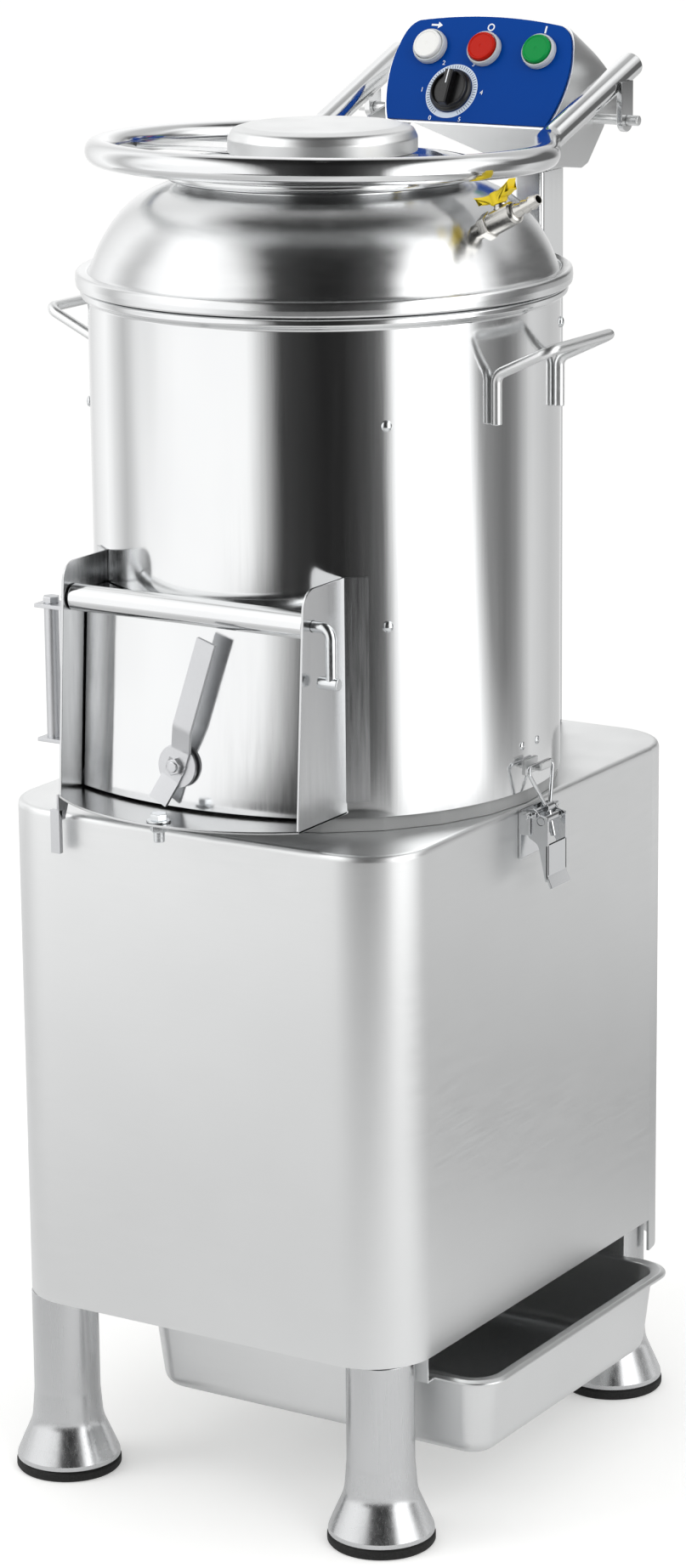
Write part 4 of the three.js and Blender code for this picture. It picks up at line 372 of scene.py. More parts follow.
def domed_heads(tree, start):
    """Dome heads: the upper half of a flattened ball, sunk so that its rim meets the sheet."""
    ball = node(tree, "GeometryNodeMeshUVSphere", values={"Segments": 20, "Rings": 12, "Radius": 1.0})
    size = node(tree, "ShaderNodeCombineXYZ", {
        "X": start.outputs["Radius"], "Y": start.outputs["Radius"], "Z": start.outputs["Height"]})
    squat = node(tree, "GeometryNodeTransform", {
        "Geometry": ball.outputs["Mesh"], "Scale": size.outputs["Vector"]})
    return on_points(tree, start, squat.outputs["Geometry"], "Z")


# Zinc-plated steel: a cool pale grey with a fine milky mottle, half gloss
zinc_steel, tree, shader = new_material("steel_zinc_plated", Metallic=1.0)
scratched(tree, shader, 3, (1, 1, 1), (0.16, 0.26), 0.02, ("#DDE0E2", "#E8EAEB"))

cover_low = (-132, 200.5)
cover_high = (132, 498.5)
cover_face = 243.8
screw_inset = 7
cover_middle = (cover_low[1] + cover_high[1]) / 2
rear = Vector((0, 1, 0))
screws = []
for x in (cover_low[0] + screw_inset, 0, cover_high[0] - screw_inset):
    for z in (cover_low[1] + screw_inset, cover_middle, cover_high[1] - screw_inset):
        if x or z != cover_middle:
            screws.append((at(x, cover_face, z), rear))
grown("cover_screws", "dome_head_screws", screws, domed_heads, {"Radius": 4, "Height": 2.4},
      zinc_steel, "root")


def louvre_hoods(tree, start):
    """A pressed hood over each slot: a quarter round lip that throws water off the opening."""
    bar = node(tree, "GeometryNodeCurvePrimitiveLine", values={"Start": (0, 0, 0), "End": (0, 0, 0.001)})
    width = node(tree, "ShaderNodeCombineXYZ", {"X": start.outputs["Width"]})
    for end, share in (("Start", -0.5), ("End", 0.5)):
        half = node(tree, "ShaderNodeVectorMath", {0: width.outputs["Vector"]}, {1: (share, 0, 0)},
                    operation="MULTIPLY")
        tree.links.new(half.outputs["Vector"], bar.inputs[end])
    ring = node(tree, "GeometryNodeCurvePrimitiveCircle", {"Radius": start.outputs["Depth"]},
                {"Resolution": 24})
    tube = node(tree, "GeometryNodeCurveToMesh", {
        "Curve": bar.outputs["Curve"], "Profile Curve": ring.outputs["Curve"]}, {"Fill Caps": True})
    return on_points(tree, start, tube.outputs["Mesh"], "Y")


louvre_side = 59
louvre_face = 242.6
louvre_top = 466.5
louvre_pitch = 20
hoods = []
for side in (-1, 1):
    for row in range(5):
        hoods.append((at(side * louvre_side, louvre_face, louvre_top - louvre_pitch * row), rear))
grown("cover_louvres", "pressed_louvres", hoods, louvre_hoods, {"Width": 78, "Depth": 3.4},
      satin_steel, "root")


def turned(section, count):
    """A lathe section of (radius, height) pairs, closed or from axis to axis, on the barrel's axis."""
    bm = bmesh.new()
    rows = []
    for radius, z in section:
        if radius < 1e-6:
            rows.append([bm.verts.new(at(0, 0, z))])
            continue
        row = []
        for i in range(count):
            angle = 2 * math.pi * i / count
            row.append(bm.verts.new(at(radius * math.cos(angle), radius * math.sin(angle), z)))
        rows.append(row)
    for low, high in zip(rows, rows[1:] + rows[:1]):
        for i in range(count):
            corners = []
            j = i + 1
            for vert in (low[i % len(low)], low[j % len(low)], high[j % len(high)], high[i % len(high)]):
                if vert not in corners:
                    corners.append(vert)
            if len(corners) > 2:
                bm.faces.new(corners)
    return outward(bm)


def axis_frame(origin, along, side=Vector((0, 0, 1))):
    """A frame whose Z runs along a direction, for pieces turned on the barrel's axis and then placed."""
    z = Vector(along).normalized()
    x = (Vector(side) - z * z.dot(Vector(side))).normalized()
    y = z.cross(x)
    turn_to = Matrix((x, y, z)).transposed().to_4x4()
    return Matrix.Translation(at(*origin)) @ turn_to @ Matrix.Translation(-at(0, 0, 0))


def moved(bm, matrix):
    bmesh.ops.transform(bm, matrix=matrix, verts=bm.verts[:])
    return bm


def joined(*parts):
    """Several closed skins in one mesh."""
    whole = bmesh.new()
    for bm in parts:
        scrap = bpy.data.meshes.new("part")
        bm.to_mesh(scrap)
        bm.free()
        whole.from_mesh(scrap)
        bpy.data.meshes.remove(scrap)
    return whole


# Nylon and ABS mouldings in black: a soft even sheen with a faint spark-eroded texture
black_plastic, tree, shader = new_material("abs_black_moulded", IOR=1.53)
scratched(tree, shader, 0.8, (1, 1, 1), (0.28, 0.36), 0.02, ("#0E0E0F", "#151516"))
gland_frame = axis_frame((-70, cover_face, 250.5), rear)
gland = joined(
    turned(softened([(0, 0, 0), (11, 0, 0), (11, 5, 0.8), (0, 5, 0)], 6), 6),
    turned(softened([(0, -8, 0), (6.6, -8, 0.4), (6.6, 4.6, 0), (9.6, 4.6, 0), (9.6, 13, 1), (7, 17, 2),
                     (4, 17.5, 0.6), (4, 14, 0), (0, 14, 0)], 6), 32),
)
finished(worked("cable_gland", moved(gland, gland_frame)), black_plastic, "root")


# Legs and feet: stainless tube of 51 mm, swaged out to a bell at the floor and bolted under the cabinet.
# Each bell stands on a black rubber pad.
# Tube ground along its length: the lines run up and down, so it shows soft upright bands
brushed_tube, tree, shader = new_material("stainless_ground_tube", Metallic=1.0)
scratched(tree, shader, 2, (1, 1, 0.03), (0.21, 0.29), 0.008, ("#D0D1D2", "#DCDDDE"))
# Rubber: near black, dull, with a fine pebble
rubber, tree, shader = new_material("rubber_black_moulded", IOR=1.5)
scratched(tree, shader, 1.5, (1, 1, 1), (0.6, 0.8), 0.15, ("#0D0D0D", "#181817"))

leg_section = softened([
    (0, 8.3, 0), (40, 8.3, 1), (39.6, 12, 2), (34.5, 24, 14), (27.5, 40, 30), (25.5, 64, 30),
    (25.5, 144.2, 0.5), (24, 144.2, 0.3), (24, 20.3, 0), (0, 20.3, 0),
], 10)
pad_section = softened([(0, 0, 0), (39, 0, 1), (40.5, 2, 1), (40.5, 6.4, 1), (38.6, 8, 0.6), (0, 8, 0)], 4)
leg_side = 141.6
leg_front = -164.8
leg_rear = 192.6
for side, x in (("left", -leg_side), ("right", leg_side)):
    for end, y in (("front", leg_front), ("rear", leg_rear)):
        stand = Matrix.Translation(Vector((x * mm, y * mm, 0)))
        leg = worked(f"leg_tube_{end}_{side}", moved(turned(leg_section, 64), stand))
        finished(leg, brushed_tube, "root", (f"leg_{end}_{side}",))
        pad = worked(f"leg_pad_{end}_{side}", moved(turned(pad_section, 64), stand))
        finished(pad, rubber, "root", (f"foot_pad_{end}_{side}",))


# Tray runners and catch tray: two folded ledges between the legs carry a pan pressed from 1.5 mm sheet.
# Its walls lean out, its rim is rolled, and it slides out to the right to be emptied.
# Sheet as it comes from the press: satin, with the rolling lines along it and no bright edge
pressed_steel, tree, shader = new_material("stainless_pressed_sheet", Metallic=1.0)
scratched(tree, shader, 2, (0.05, 1, 1), (0.3, 0.4), 0.02, ("#E6E7E7", "#EEEFEF"))
for end in ("front", "rear"):
    refined(f"runner_{end}", f"tray_runner_{end}", satin_steel, "root", 0.3)

tray_low = (-105, -133.75)
tray_high = (217, 161.55)
tray_corner = 26
tray_section = softened([
    (42, 58, 0), (16, 58, 17), (9.3, 121.5, 1.2), (0.2, 121.2, 1.6), (0, 123.2, 1.8), (3.4, 125, 2.8),
    (10.6, 124.2, 1.6), (17.4, 59.5, 15.5), (42, 59.5, 0),
], 8)
tray_rings = []
for inset, z in tray_section:
    outline = sheet_outline([v + inset for v in tray_low], [v - inset for v in tray_high],
                            max(tray_corner - inset / 2, 4), 10, 6)
    tray_rings.append([at(p.x, p.y, z) for p in outline])
tray = worked("catch_tray_pan", outward(skinned(tray_rings)))
finished(tray, pressed_steel, "tray", ("catch_tray",))


# Drive and drain, out of sight in the cabinet: the pan hangs in the deck, the housing and its bearings hang
# under the pan, and a belt takes the motor's turning to the shaft. These keep their plain shapes.
# Cast iron: dark grey, rough from the sand
cast_metal, tree, shader = new_material("iron_sand_cast", Metallic=1.0)
scratched(tree, shader, 1.4, (1, 1, 1), (0.5, 0.7), 0.3, ("#55595C", "#6C7073"))
# Hammered enamel on the motor: blue grey with a slight orange peel
motor_enamel, tree, shader = new_material("enamel_motor_grey", IOR=1.5)
scratched(tree, shader, 2.5, (1, 1, 1), (0.35, 0.5), 0.15, ("#43586D", "#4F667C"))
# The seat ring between deck and barrel: grey food rubber, matt
grey_rubber, tree, shader = new_material("rubber_grey_seat", IOR=1.5)
scratched(tree, shader, 1.5, (1, 1, 1), (0.5, 0.65), 0.05, ("#9A9B9B", "#A5A6A6"))
inside = {
    "drain_pan": satin_steel, "bearing_housing": cast_metal, "lower_bearing": zinc_steel,
    "upper_bearing": zinc_steel, "drive_shaft": zinc_steel, "large_pulley": cast_metal, "v_belt": rubber,
    "motor_pulley": cast_metal, "motor": motor_enamel, "motor_bracket": zinc_steel,
    "barrel_seat_ring": grey_rubber,
}
for name, material in inside.items():
    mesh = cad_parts[name].data
    if not mesh.materials:
        mesh.materials.append(material)
    for i in range(len(mesh.materials)):
        mesh.materials[i] = material


# Barrel: a tube rolled from 2 mm sheet, 350 mm across, polished bright, with a bead rolled round its rim.
# The outlet is cut low in its front.
# Bright polished stainless: a mirror with the faintest upright drag of the polishing wheel
mirror_steel, tree, shader = new_material("stainless_polished", Metallic=1.0)
scratched(tree, shader, 5, (1, 1, 0.04), (0.09, 0.15), 0.004, ("#E4E5E6", "#EEEFEF"))

barrel_section = softened([
    (173, 543.7, 0.3), (175, 543.7, 0.5), (175, 899.5, 3), (180.4, 902, 3), (180.5, 907, 2.4),
    (176, 908.5, 2.4), (173, 908.5, 0.5),
], 8)
outlet_opening = ((-97, -190, 556), (97, -88, 690))
barrel = worked("barrel_body", turned(barrel_section, 192))
punched(barrel, outlet_opening)
finished(barrel, mirror_steel, "root", ("barrel_shell",))


def plate(outline, matrix, low, high, edge=0.35, steps=2):
    """A flat plate cut to an outline of (u, v) pairs, from low to high along the matrix's Z."""
    points = [Vector(p) for p in outline]
    area = sum(a.x * b.y - b.x * a.y for a, b in zip(points, points[1:] + points[:1]))
    if area < 0:
        points.reverse()
    count = len(points)
    inward = []
    for i, point in enumerate(points):
        before = (point - points[i - 1]).normalized()
        after = (points[(i + 1) % count] - point).normalized()
        first = Vector((-before.y, before.x))
        second = Vector((-after.y, after.x))
        mitre = first + second
        mitre = mitre.normalized() if mitre.length > 1e-6 else first
        inward.append(mitre / max(mitre.dot(first), 0.5))
    levels = []
    for k in range(steps + 1):
        angle = math.pi / 2 * k / steps
        levels.append((edge * (1 - math.sin(angle)), low + edge * (1 - math.cos(angle))))
    levels += [(inset, low + high - w) for inset, w in reversed(levels)]
    rings = []
    for inset, w in levels:
        ring = [point + inward[i] * inset for i, point in enumerate(points)]
        rings.append([matrix @ Vector((p.x * mm, p.y * mm, w * mm)) for p in ring])
    return outward(skinned(rings))


def frame_of(origin, x, y):
    """A frame in millimetre places: plates lie in its X and Y."""
    x = Vector(x).normalized()
    y = Vector(y).normalized()
    return Matrix.Translation(at(*origin)) @ Matrix((x, y, x.cross(y))).transposed().to_4x4()


# Strikes: small stainless hooks spot welded to the barrel's sides, low down.
# The wire of a latch hooks under each and pulls the barrel down on to the deck.
front_plane = frame_of((0, 0, 0), (1, 0, 0), (0, 0, 1))
side_plane = frame_of((0, 0, 0), (0, 1, 0), (0, 0, 1))
back_profile = [(174.2, 556), (176.4, 556), (176.4, 567), (174.2, 567)]
hook_profile = softened([(177, 560, 0), (188.8, 560, 1.6), (188.8, 566, 0.4), (186.8, 566, 0.4),
                         (186.8, 562, 0.4), (177, 562, 0)], 3)
for side, name in ((-1, "left"), (1, "right")):
    strike = joined(plate([(side * x, z) for x, z in back_profile], front_plane, -9.5, 9.5, 0.3),
                    plate([(side * x, z) for x, z in hook_profile], front_plane, -7, 7, 0.3))
    finished(worked(f"strike_{name}", strike), satin_steel, "root")


# Screws and rivets of the barrel: zinc plated dome heads, whose nuts inside hold the lining, and two dome
# rivets above each strike. A screw's place is its azimuth from the front and its height.
screw_face = 175.2
heads = []
for azimuth, z in ((46.3, 829.7), (46.3, 684.5), (-58, 821), (-58, 684.5), (115, 880), (160, 829.7),
                   (-150, 829.7)):
    angle = math.radians(azimuth)
    out = Vector((math.sin(angle), -math.cos(angle), 0))
    heads.append((at(out.x * screw_face, out.y * screw_face, z), out))
grown("barrel_screws", "dome_head_screws_barrel", heads, domed_heads, {"Radius": 4.2, "Height": 2.6},
      zinc_steel, "root")
rivet_face = 174.5
rivet_side = 11
rivet_height = 578.5
rivets = []
for side in (-1, 1):
    for y in (-rivet_side, rivet_side):
        rivets.append((at(side * rivet_face, y, rivet_height), Vector((side, 0, 0))))
grown("strike_rivets", "dome_rivets", rivets, domed_heads, {"Radius": 3.3, "Height": 1.7},
      zinc_steel, "root")


# Lining, disc and nut: the lining and the cast disc are coated with abrasive grit set in resin.
# The disc turns under the load, its four waves tumble it, and a dome nut holds it down on the shaft.
# Silicon carbide grit: dark grey brown, dead rough, with lighter grains that catch the light
grit, tree, shader = new_material("silicon_carbide_grit", Roughness=0.9, IOR=1.5)
place = node(tree, "ShaderNodeTexCoord")
grains = node(tree, "ShaderNodeTexVoronoi", {"Vector": place.outputs["Object"]}, {"Scale": 1 / (2.2 * mm)})
shade = node(tree, "ShaderNodeValToRGB", {"Fac": grains.outputs["Distance"]})
shade.color_ramp.elements[0].color = linear("#7C7670")
shade.color_ramp.elements[0].position = 0.1
shade.color_ramp.elements[1].color = linear("#37332F")
shade.color_ramp.elements[1].position = 0.7
tree.links.new(shade.outputs["Color"], shader.inputs["Base Color"])
bump = node(tree, "ShaderNodeBump", {"Height": grains.outputs["Distance"]},
            {"Strength": 0.8, "Distance": 1.2 * mm}, invert=True)
tree.links.new(bump.outputs["Normal"], shader.inputs["Normal"])

lining_section = softened([(164.1, 580, 0.8), (172.1, 580, 0.4), (172.1, 890, 0.4), (164.1, 890, 2)], 4)
lining = worked("barrel_lining", turned(lining_section, 120))
punched(lining, outlet_opening)
finished(lining, grit, "root", ("abrasive_liner",))

wave_count = 4
wave_height = 11
disc_radius = 160
disc_face = 563
disc_steps = 144
disc_rings = []
disc_profile = [(14, 556, 0), (159, 556, 0), (disc_radius, 557, 0), (disc_radius, 562, 0),
                (159, disc_face, 0.02)]
disc_profile += [(disc_radius * share, disc_face, swell) for share, swell in (
    (0.97, 0.1), (0.93, 0.25), (0.88, 0.45), (0.82, 0.65), (0.75, 0.84), (0.66, 0.97), (0.55, 1),
    (0.45, 0.92), (0.37, 0.72), (0.31, 0.45), (0.25, 0.18), (0.2, 0.03))]
disc_profile += [(26, disc_face, 0), (26, 577, 0), (25, 578, 0), (14, 578, 0)]
for radius, z, swell in disc_profile:
    ring = []
    for i in range(disc_steps):
        angle = 2 * math.pi * i / disc_steps
        lift = wave_height * swell * max(0, math.cos(wave_count * angle)) ** 2
        ring.append(at(radius * math.cos(angle), radius * math.sin(angle), z + lift))
    disc_rings.append(ring)
disc = outward(skinned(disc_rings, looped=True))
paddle = softened([(54, 510.8, 1), (138, 510.8, 1), (138, 558, 0), (54, 558, 0)], 3)
paddles = [plate([(side * x, z) for x, z in paddle], front_plane, -2.5, 2.5) for side in (-1, 1)]
finished(worked("wave_disc", joined(disc, *paddles)), grit, "rotor", ("abrasive_disc",))
nut_section = softened([(0, 578.3, 0), (20, 578.3, 0.8), (20, 584, 1.5), (16, 592, 6), (7, 595.3, 6),
                        (0, 595.3, 0)], 6)
finished(worked("disc_dome_nut", turned(nut_section, 48)), mirror_steel, "rotor",
         ("disc_lock_nut",))


# Dome: spun from 2 mm sheet and polished, sat on the barrel's bead by a dressed flange, with the feed mouth
# in its middle. A rolled lip stiffens the mouth where the lid comes down.
def smooth(points, steps):
    """A curve that passes through every point of a run."""
    run = [Vector(p) for p in points]
    run = [2 * run[0] - run[1]] + run + [2 * run[-1] - run[-2]]
    curve = []
    for a, b, c, d in zip(run, run[1:], run[2:], run[3:]):
        for k in range(steps):
            t = k / steps
            curve.append(tuple(0.5 * (2 * b + (c - a) * t + (2 * a - 5 * b + 4 * c - d) * t ** 2
                                      + (3 * b - a - 3 * c + d) * t ** 3)))
    return curve + [tuple(run[-2])]


mouth = 101.5
dome_foot = 920.3
dome_rise = 64
dome_spread = 71.5
dome_shape = ((0.1, 0.97), (0.3, 0.89), (0.56, 0.74), (0.78, 0.54), (0.93, 0.28), (0.985, 0.06))
dome_line = [(mouth + dome_spread * reach, dome_foot + dome_rise * rise) for rise, reach in dome_shape]
dome_outer = smooth([(173.4, 920.4)] + dome_line + [(mouth, 984.3)], 6)
dome_inner = []
for i, point in enumerate(dome_outer):
    run = Vector(dome_outer[min(i + 1, len(dome_outer) - 1)]) - Vector(dome_outer[max(i - 1, 0)])
    dome_inner.append(tuple(Vector(point) + Vector((run.y, -run.x)).normalized() * -sheet))
dome_section = softened([(171.4, 908.8, 0), (183.4, 908.8, 2), (184, 914, 4), (183.4, dome_foot, 3),
                         (175, dome_foot, 2)], 5)
dome_section += dome_outer
dome_section += softened([(mouth, 985, 0), (mouth, 987.3, 0.8), (99.5, 987.3, 0.8), (99.5, 983, 0)], 4)
dome_section += [p for p in reversed(dome_inner) if p[0] > mouth - 1]
# Spun stainless, wheel polished: the wheel's marks run round it and draw its reflections out up and down
spun_steel, tree, shader = new_material("stainless_spun_polished", Metallic=1.0, Anisotropic=0.9,
                                        Anisotropic_Rotation=0.25)
scratched(tree, shader, 4, (0.2, 0.2, 1), (0.2, 0.25), 0.002, ("#E4E5E6", "#EEEFEF"))
round_marks = node(tree, "ShaderNodeTangent", direction_type="RADIAL", axis="Z")
tree.links.new(round_marks.outputs["Tangent"], shader.inputs["Tangent"])
finished(worked("dome_body", turned(dome_section, 192)), spun_steel, "root",
         ("dome_cover",))


# Water valve: a nickel plated brass ball valve screwed into the dome, its hose barb pointing up and out.
# A quarter turn of the moulded yellow wing opens it.
# Nickel plating: bright but slightly warm and softer than the polished sheet
nickel, tree, shader = new_material("brass_nickel_plated", Metallic=1.0)
scratched(tree, shader, 2, (1, 1, 1), (0.16, 0.26), 0.03, ("#D2D0CB", "#E4E2DE"))
# Moulded nylon: strong yellow, soft sheen
yellow, tree, shader = new_material("nylon_yellow_moulded", IOR=1.53)
scratched(tree, shader, 1, (1, 1, 1), (0.34, 0.44), 0.03, ("#F6D711", "#FAE01E"))


def hexagon(radius, turn_by=0.0):
    """Corners of a hexagon nut."""
    return [(radius * math.cos(turn_by + math.pi * i / 3), radius * math.sin(turn_by + math.pi * i / 3))
            for i in range(6)]


valve_turn = math.radians(78)
valve_tip = math.radians(26)
outward_from_dome = Vector((math.sin(valve_turn), -math.cos(valve_turn), 0))
valve_along = outward_from_dome * math.cos(valve_tip) + Vector((0, 0, math.sin(valve_tip)))
valve_up = Vector((0, 0, math.cos(valve_tip))) - outward_from_dome * math.sin(valve_tip)
valve_foot = outward_from_dome * 156 + Vector((0, 0, 959.4))
valve_hub = valve_foot + valve_along * 25.5
stem_frame = axis_frame(valve_hub, valve_up, valve_along)
valve_section = softened([
    (3, -8, 0), (6, -8, 0.4), (6, 12.5, 0), (7.6, 12.5, 0.4), (8.5, 14, 0.8), (8.5, 20, 0), (8.5, 31, 0),
    (8.5, 36, 0.8), (7.4, 38, 0.6), (5.6, 39.4, 0.6)], 3)
barb_pitch = 7.1
for rib in range(3):
    valve_section += [(radius, z + barb_pitch * rib) for radius, z in (
        (5.2, 39.6), (5.2, 40.6), (3.8, 46.2), (3.9, 46.5))]
valve_section += [(3.9, 61), (3, 61)]
stem_section = softened([(0, 0, 0), (5.6, 0, 0), (5.6, 8.4, 0.4), (4.7, 8.8, 0.3), (4.7, 10, 0.3),
                         (0, 10, 0)], 2)
valve = joined(
    moved(turned(valve_section, 48), axis_frame(valve_foot, valve_along, valve_up)),
    plate(hexagon(10), frame_of(valve_foot, valve_up, valve_along.cross(valve_up)), 5, 13, 0.9, 3),
    moved(turned(stem_section, 32), stem_frame),
)
finished(worked("valve_body", valve), nickel, "root", ("water_valve",))

wing_top = [(19 - 38 * k / 16, 18.9 + 3.6 * (1 - 2 * k / 16) ** 2) for k in range(17)]
wing = softened([(-19, 16.3, 2), (-9.5, 13.4, 4), (-6, 13.4, 0.5), (-5, 11, 0.6), (5, 11, 0.6),
                 (6, 13.4, 0.5), (9.5, 13.4, 4), (19, 16.3, 2)], 4) + wing_top
hub_section = softened([(0, 10.3, 0), (5.2, 10.3, 0.4), (5.2, 19.5, 1.2), (0, 19.8, 0)], 3)
handle = joined(
    plate(wing, frame_of(valve_hub, valve_along, valve_up), -4.5, 4.5, 1.3, 4),
    moved(turned(hub_section, 32), stem_frame),
)
finished(worked("valve_wing", handle), yellow, "valve_handle", ("valve_handle",))


# Lid: a shallow spun cover with a rolled rim, and a collar under it that drops into the feed mouth.
# A flat cap is bolted on over the strap. Lid and cap hang on the hoop, and tip back with it.
def arc_points(middle, radius, turns):
    """Points round a middle, at each of a run of angles in degrees."""
    angles = [math.radians(degrees) for degrees in turns]
    return [(middle[0] + radius * math.cos(a), middle[1] + radius * math.sin(a)) for a in angles]


rim_middle = (112.5, 991.6)
rim_radius = 5
lid_section = softened([(0, 1000.6, 0), (88, 1000.6, 9), (97.8, 998, 6), (103.9, 994.6, 5),
                        (107.2, 993.6, 0)], 5)
lid_section += arc_points(rim_middle, rim_radius, range(150, -128, -12))
lid_section += softened([(109.4, 987.6, 0), (97, 987.6, 0.4), (97, 978.6, 0.8), (95, 978.6, 0.8),
                         (95, 990.1, 1.5), (85.5, 998.1, 6), (0, 998.1, 0)], 4)
finished(worked("lid_cover", turned(lid_section, 160)), mirror_steel, "lid", ("lid",))
cap_section = softened([
    (0, 1024.4, 0), (58, 1024.4, 6), (67, 1021.8, 5), (70, 1015.5, 4),
    (70, 1005.2, 0.6), (67.5, 1005.2, 0.6), (67.5, 1013, 3), (59, 1021.9, 4), (8, 1021.9, 1),
    (8, 1005.2, 0.4), (0, 1005.2, 0)], 5)
finished(worked("lid_cap_cover", turned(cap_section, 128)), satin_steel, "lid",
         ("lid_cap",))


# Hoop: one length of 19.5 mm bright tube bent round the lid, its arms kicked up past the hinge and plugged.
# A flat strap across it carries the lid, and lugs under the arms take the hinge pins.
def curved(corners, radius, steps):
    """A line through corners, each but the first and last turned by an arc of the given radius."""
    places = [Vector(corner) for corner in corners]
    route = [places[0]]
    for before, here, after in zip(places, places[1:], places[2:]):
        u = (before - here).normalized()
        v = (after - here).normalized()
        half = u.angle(v) / 2
        reach = radius / math.tan(half)
        centre = here + (u + v).normalized() * radius / math.sin(half)
        a = here + u * reach - centre
        b = here + v * reach - centre
        whole = a.angle(b)
        for k in range(steps + 1):
            t = k / steps
            spoke = (a * math.sin((1 - t) * whole) + b * math.sin(t * whole)) / math.sin(whole)
            route.append(centre + spoke)
    return route + [places[-1]]


def rod(route, radius, sides, ease=0.6):
    """Round bar or tube along a line of places in mm, its ends eased, without twist."""
    route = [Vector(p) for p in route]
    tangents = []
    for i in range(len(route)):
        tangents.append((route[min(i + 1, len(route) - 1)] - route[max(i - 1, 0)]).normalized())
    normal = tangents[0].orthogonal().normalized()
    stations = []
    for place, tangent in zip(route, tangents):
        normal = (normal - tangent * normal.dot(tangent)).normalized()
        stations.append((place, tangent, normal, radius))
    first, last = stations[0], stations[-1]
    head = []
    tail = []
    for angle in (0, math.pi / 6, math.pi / 3):
        eased = radius - ease * (1 - math.sin(angle))
        head.append((first[0] + first[1] * ease * (1 - math.cos(angle)), first[1], first[2], eased))
        tail.append((last[0] - last[1] * ease * (1 - math.cos(angle)), last[1], last[2], eased))
    head.append((first[0] + first[1] * ease, *first[1:]))
    tail.append((last[0] - last[1] * ease, *last[1:]))
    stations = head + stations[1:-1] + tail[::-1]
    rings = []
    for place, tangent, normal, size in stations:
        other = tangent.cross(normal)
        ring = []
        for i in range(sides):
            angle = 2 * math.pi * i / sides
            spot = place + (normal * math.cos(angle) + other * math.sin(angle)) * size
            ring.append(at(*spot))
        rings.append(ring)
    return outward(skinned(rings))


def bored(piece, *holes):
    """Round holes, each given by a place in mm, a direction, a radius and a length."""
    for place, along, radius, length in holes:
        half = length / 2
        drill = turned([(0, -half), (radius, -half), (radius, half), (0, half)], 32)
        cut_by(piece, worked("drill", moved(drill, axis_frame(place, along, Vector(along).orthogonal()))))


def add_bored(whole, bm, *holes):
    """A skin is bored and then joined to the others in one mesh."""
    part = worked("part", bm)
    bored(part, *holes)
    whole.from_mesh(part.data)
    bpy.data.objects.remove(part)


hoop_radius = 165
hoop_tube = 9.75
hoop_bend = 29.25
arm_side = 101
arm_kick = 155
hoop_level = 1004.8
hoop_slope = 0.031
hoop_leave = math.atan2(arm_side, -arm_kick) - math.acos(hoop_radius / math.hypot(arm_side, arm_kick))
hoop_arc = []
for i in range(97):
    angle = hoop_leave * (i / 48 - 1)
    y = -hoop_radius * math.cos(angle)
    hoop_arc.append((hoop_radius * math.sin(angle), y, hoop_level - hoop_slope * y))
left_arm = curved([(-104, 284, 1048), (-arm_side, arm_kick, 1000), hoop_arc[0]], hoop_bend, 12)
right_arm = curved([hoop_arc[-1], (arm_side, arm_kick, 1000), (104, 284, 1048)], hoop_bend, 12)
strap_outline = softened([(-160, -15, 3), (160, -15, 3), (160, 15, 3), (-160, 15, 3)], 4)
hoop = joined(rod(left_arm + hoop_arc[1:-1] + right_arm, hoop_tube, 32, 1.2),
              plate(strap_outline, frame_of((0, 0, 1000.9), (1, 0, 0), (0, 1, 0)), 0, 4, 0.5, 3))
lid_pin = (0, 256, 1008)
lug_side = 113.3
lug_round = 9
lug_outline = [(lid_pin[1] - lug_round, 1037.6), (lid_pin[1] + lug_round, 1037.6)]
lug_outline += arc_points(lid_pin[1:], lug_round, range(0, -181, -12))
for side in (-1, 1):
    lug = plate(lug_outline, side_plane, lug_side * side - 2.5, lug_side * side + 2.5, 0.5)
    add_bored(hoop, lug, ((lug_side * side, *lid_pin[1:]), (1, 0, 0), 4.5, 20))
finished(worked("hoop_tube", hoop), mirror_steel, "lid", ("hoop_handle",))


# Hinge brackets: two ears of 3 mm satin sheet, bolted to the sides of the control box.
# Each carries a turned pin, headed inside, on which a lug of the hoop turns.
ear_side = 85.5
ear_outline = softened([(181, 985, 3), (197, 977, 8), (236, 972, 6), (246, 975, 4), (272, 1001, 4),
                        (272, 1014, 5), (262, 1020, 5), (205, 1007, 6)], 4)
pin_section = softened([(0, 81.2, 0), (8, 81.2, 0.6), (8, 84.5, 0), (4, 84.5, 0), (4, 125.8, 1),
                        (0, 125.8, 0)], 3)
for side, name in ((-1, "left"), (1, "right")):
    ear = plate(ear_outline, side_plane, ear_side * side - 1.5, ear_side * side + 1.5, 0.4)
    pin = moved(turned(pin_section, 32), axis_frame(lid_pin, (side, 0, 0)))
    finished(worked(f"hinge_ear_{name}", joined(ear, pin)), satin_steel, "root",
             (f"hinge_bracket_{name}",))


# Post: a rectangular tube of 25 by 35 mm, polished, that carries the head and its wiring up from the deck.
# It passes through the deck and is welded to it all round, above and below.
post_low = (47.5, 200)
post_high = (72.5, 235)
post_corner = 3.5
post_rings = []
for inset, z in ((0.4, 533.3), (0, 533.8), (0, 971.2), (0.4, 971.7), (1.6, 971.7), (2, 971.2), (2, 533.8),
                 (1.6, 533.3)):
    outline = sheet_outline([v + inset for v in post_low], [v - inset for v in post_high],
                            max(post_corner - inset, 1.2), 5, 2)
    post_rings.append([at(p.x, p.y, z) for p in outline])
finished(worked("post_tube", outward(skinned(post_rings, looped=True))), mirror_steel, "root",
         ("post",))


# Control head: a folded satin box with a wedge back, screwed to the post's top.
# The blue panel closes it in front and its apron below.
refined("control_housing", "control_box", satin_steel, "root", 0.8, segments=3)
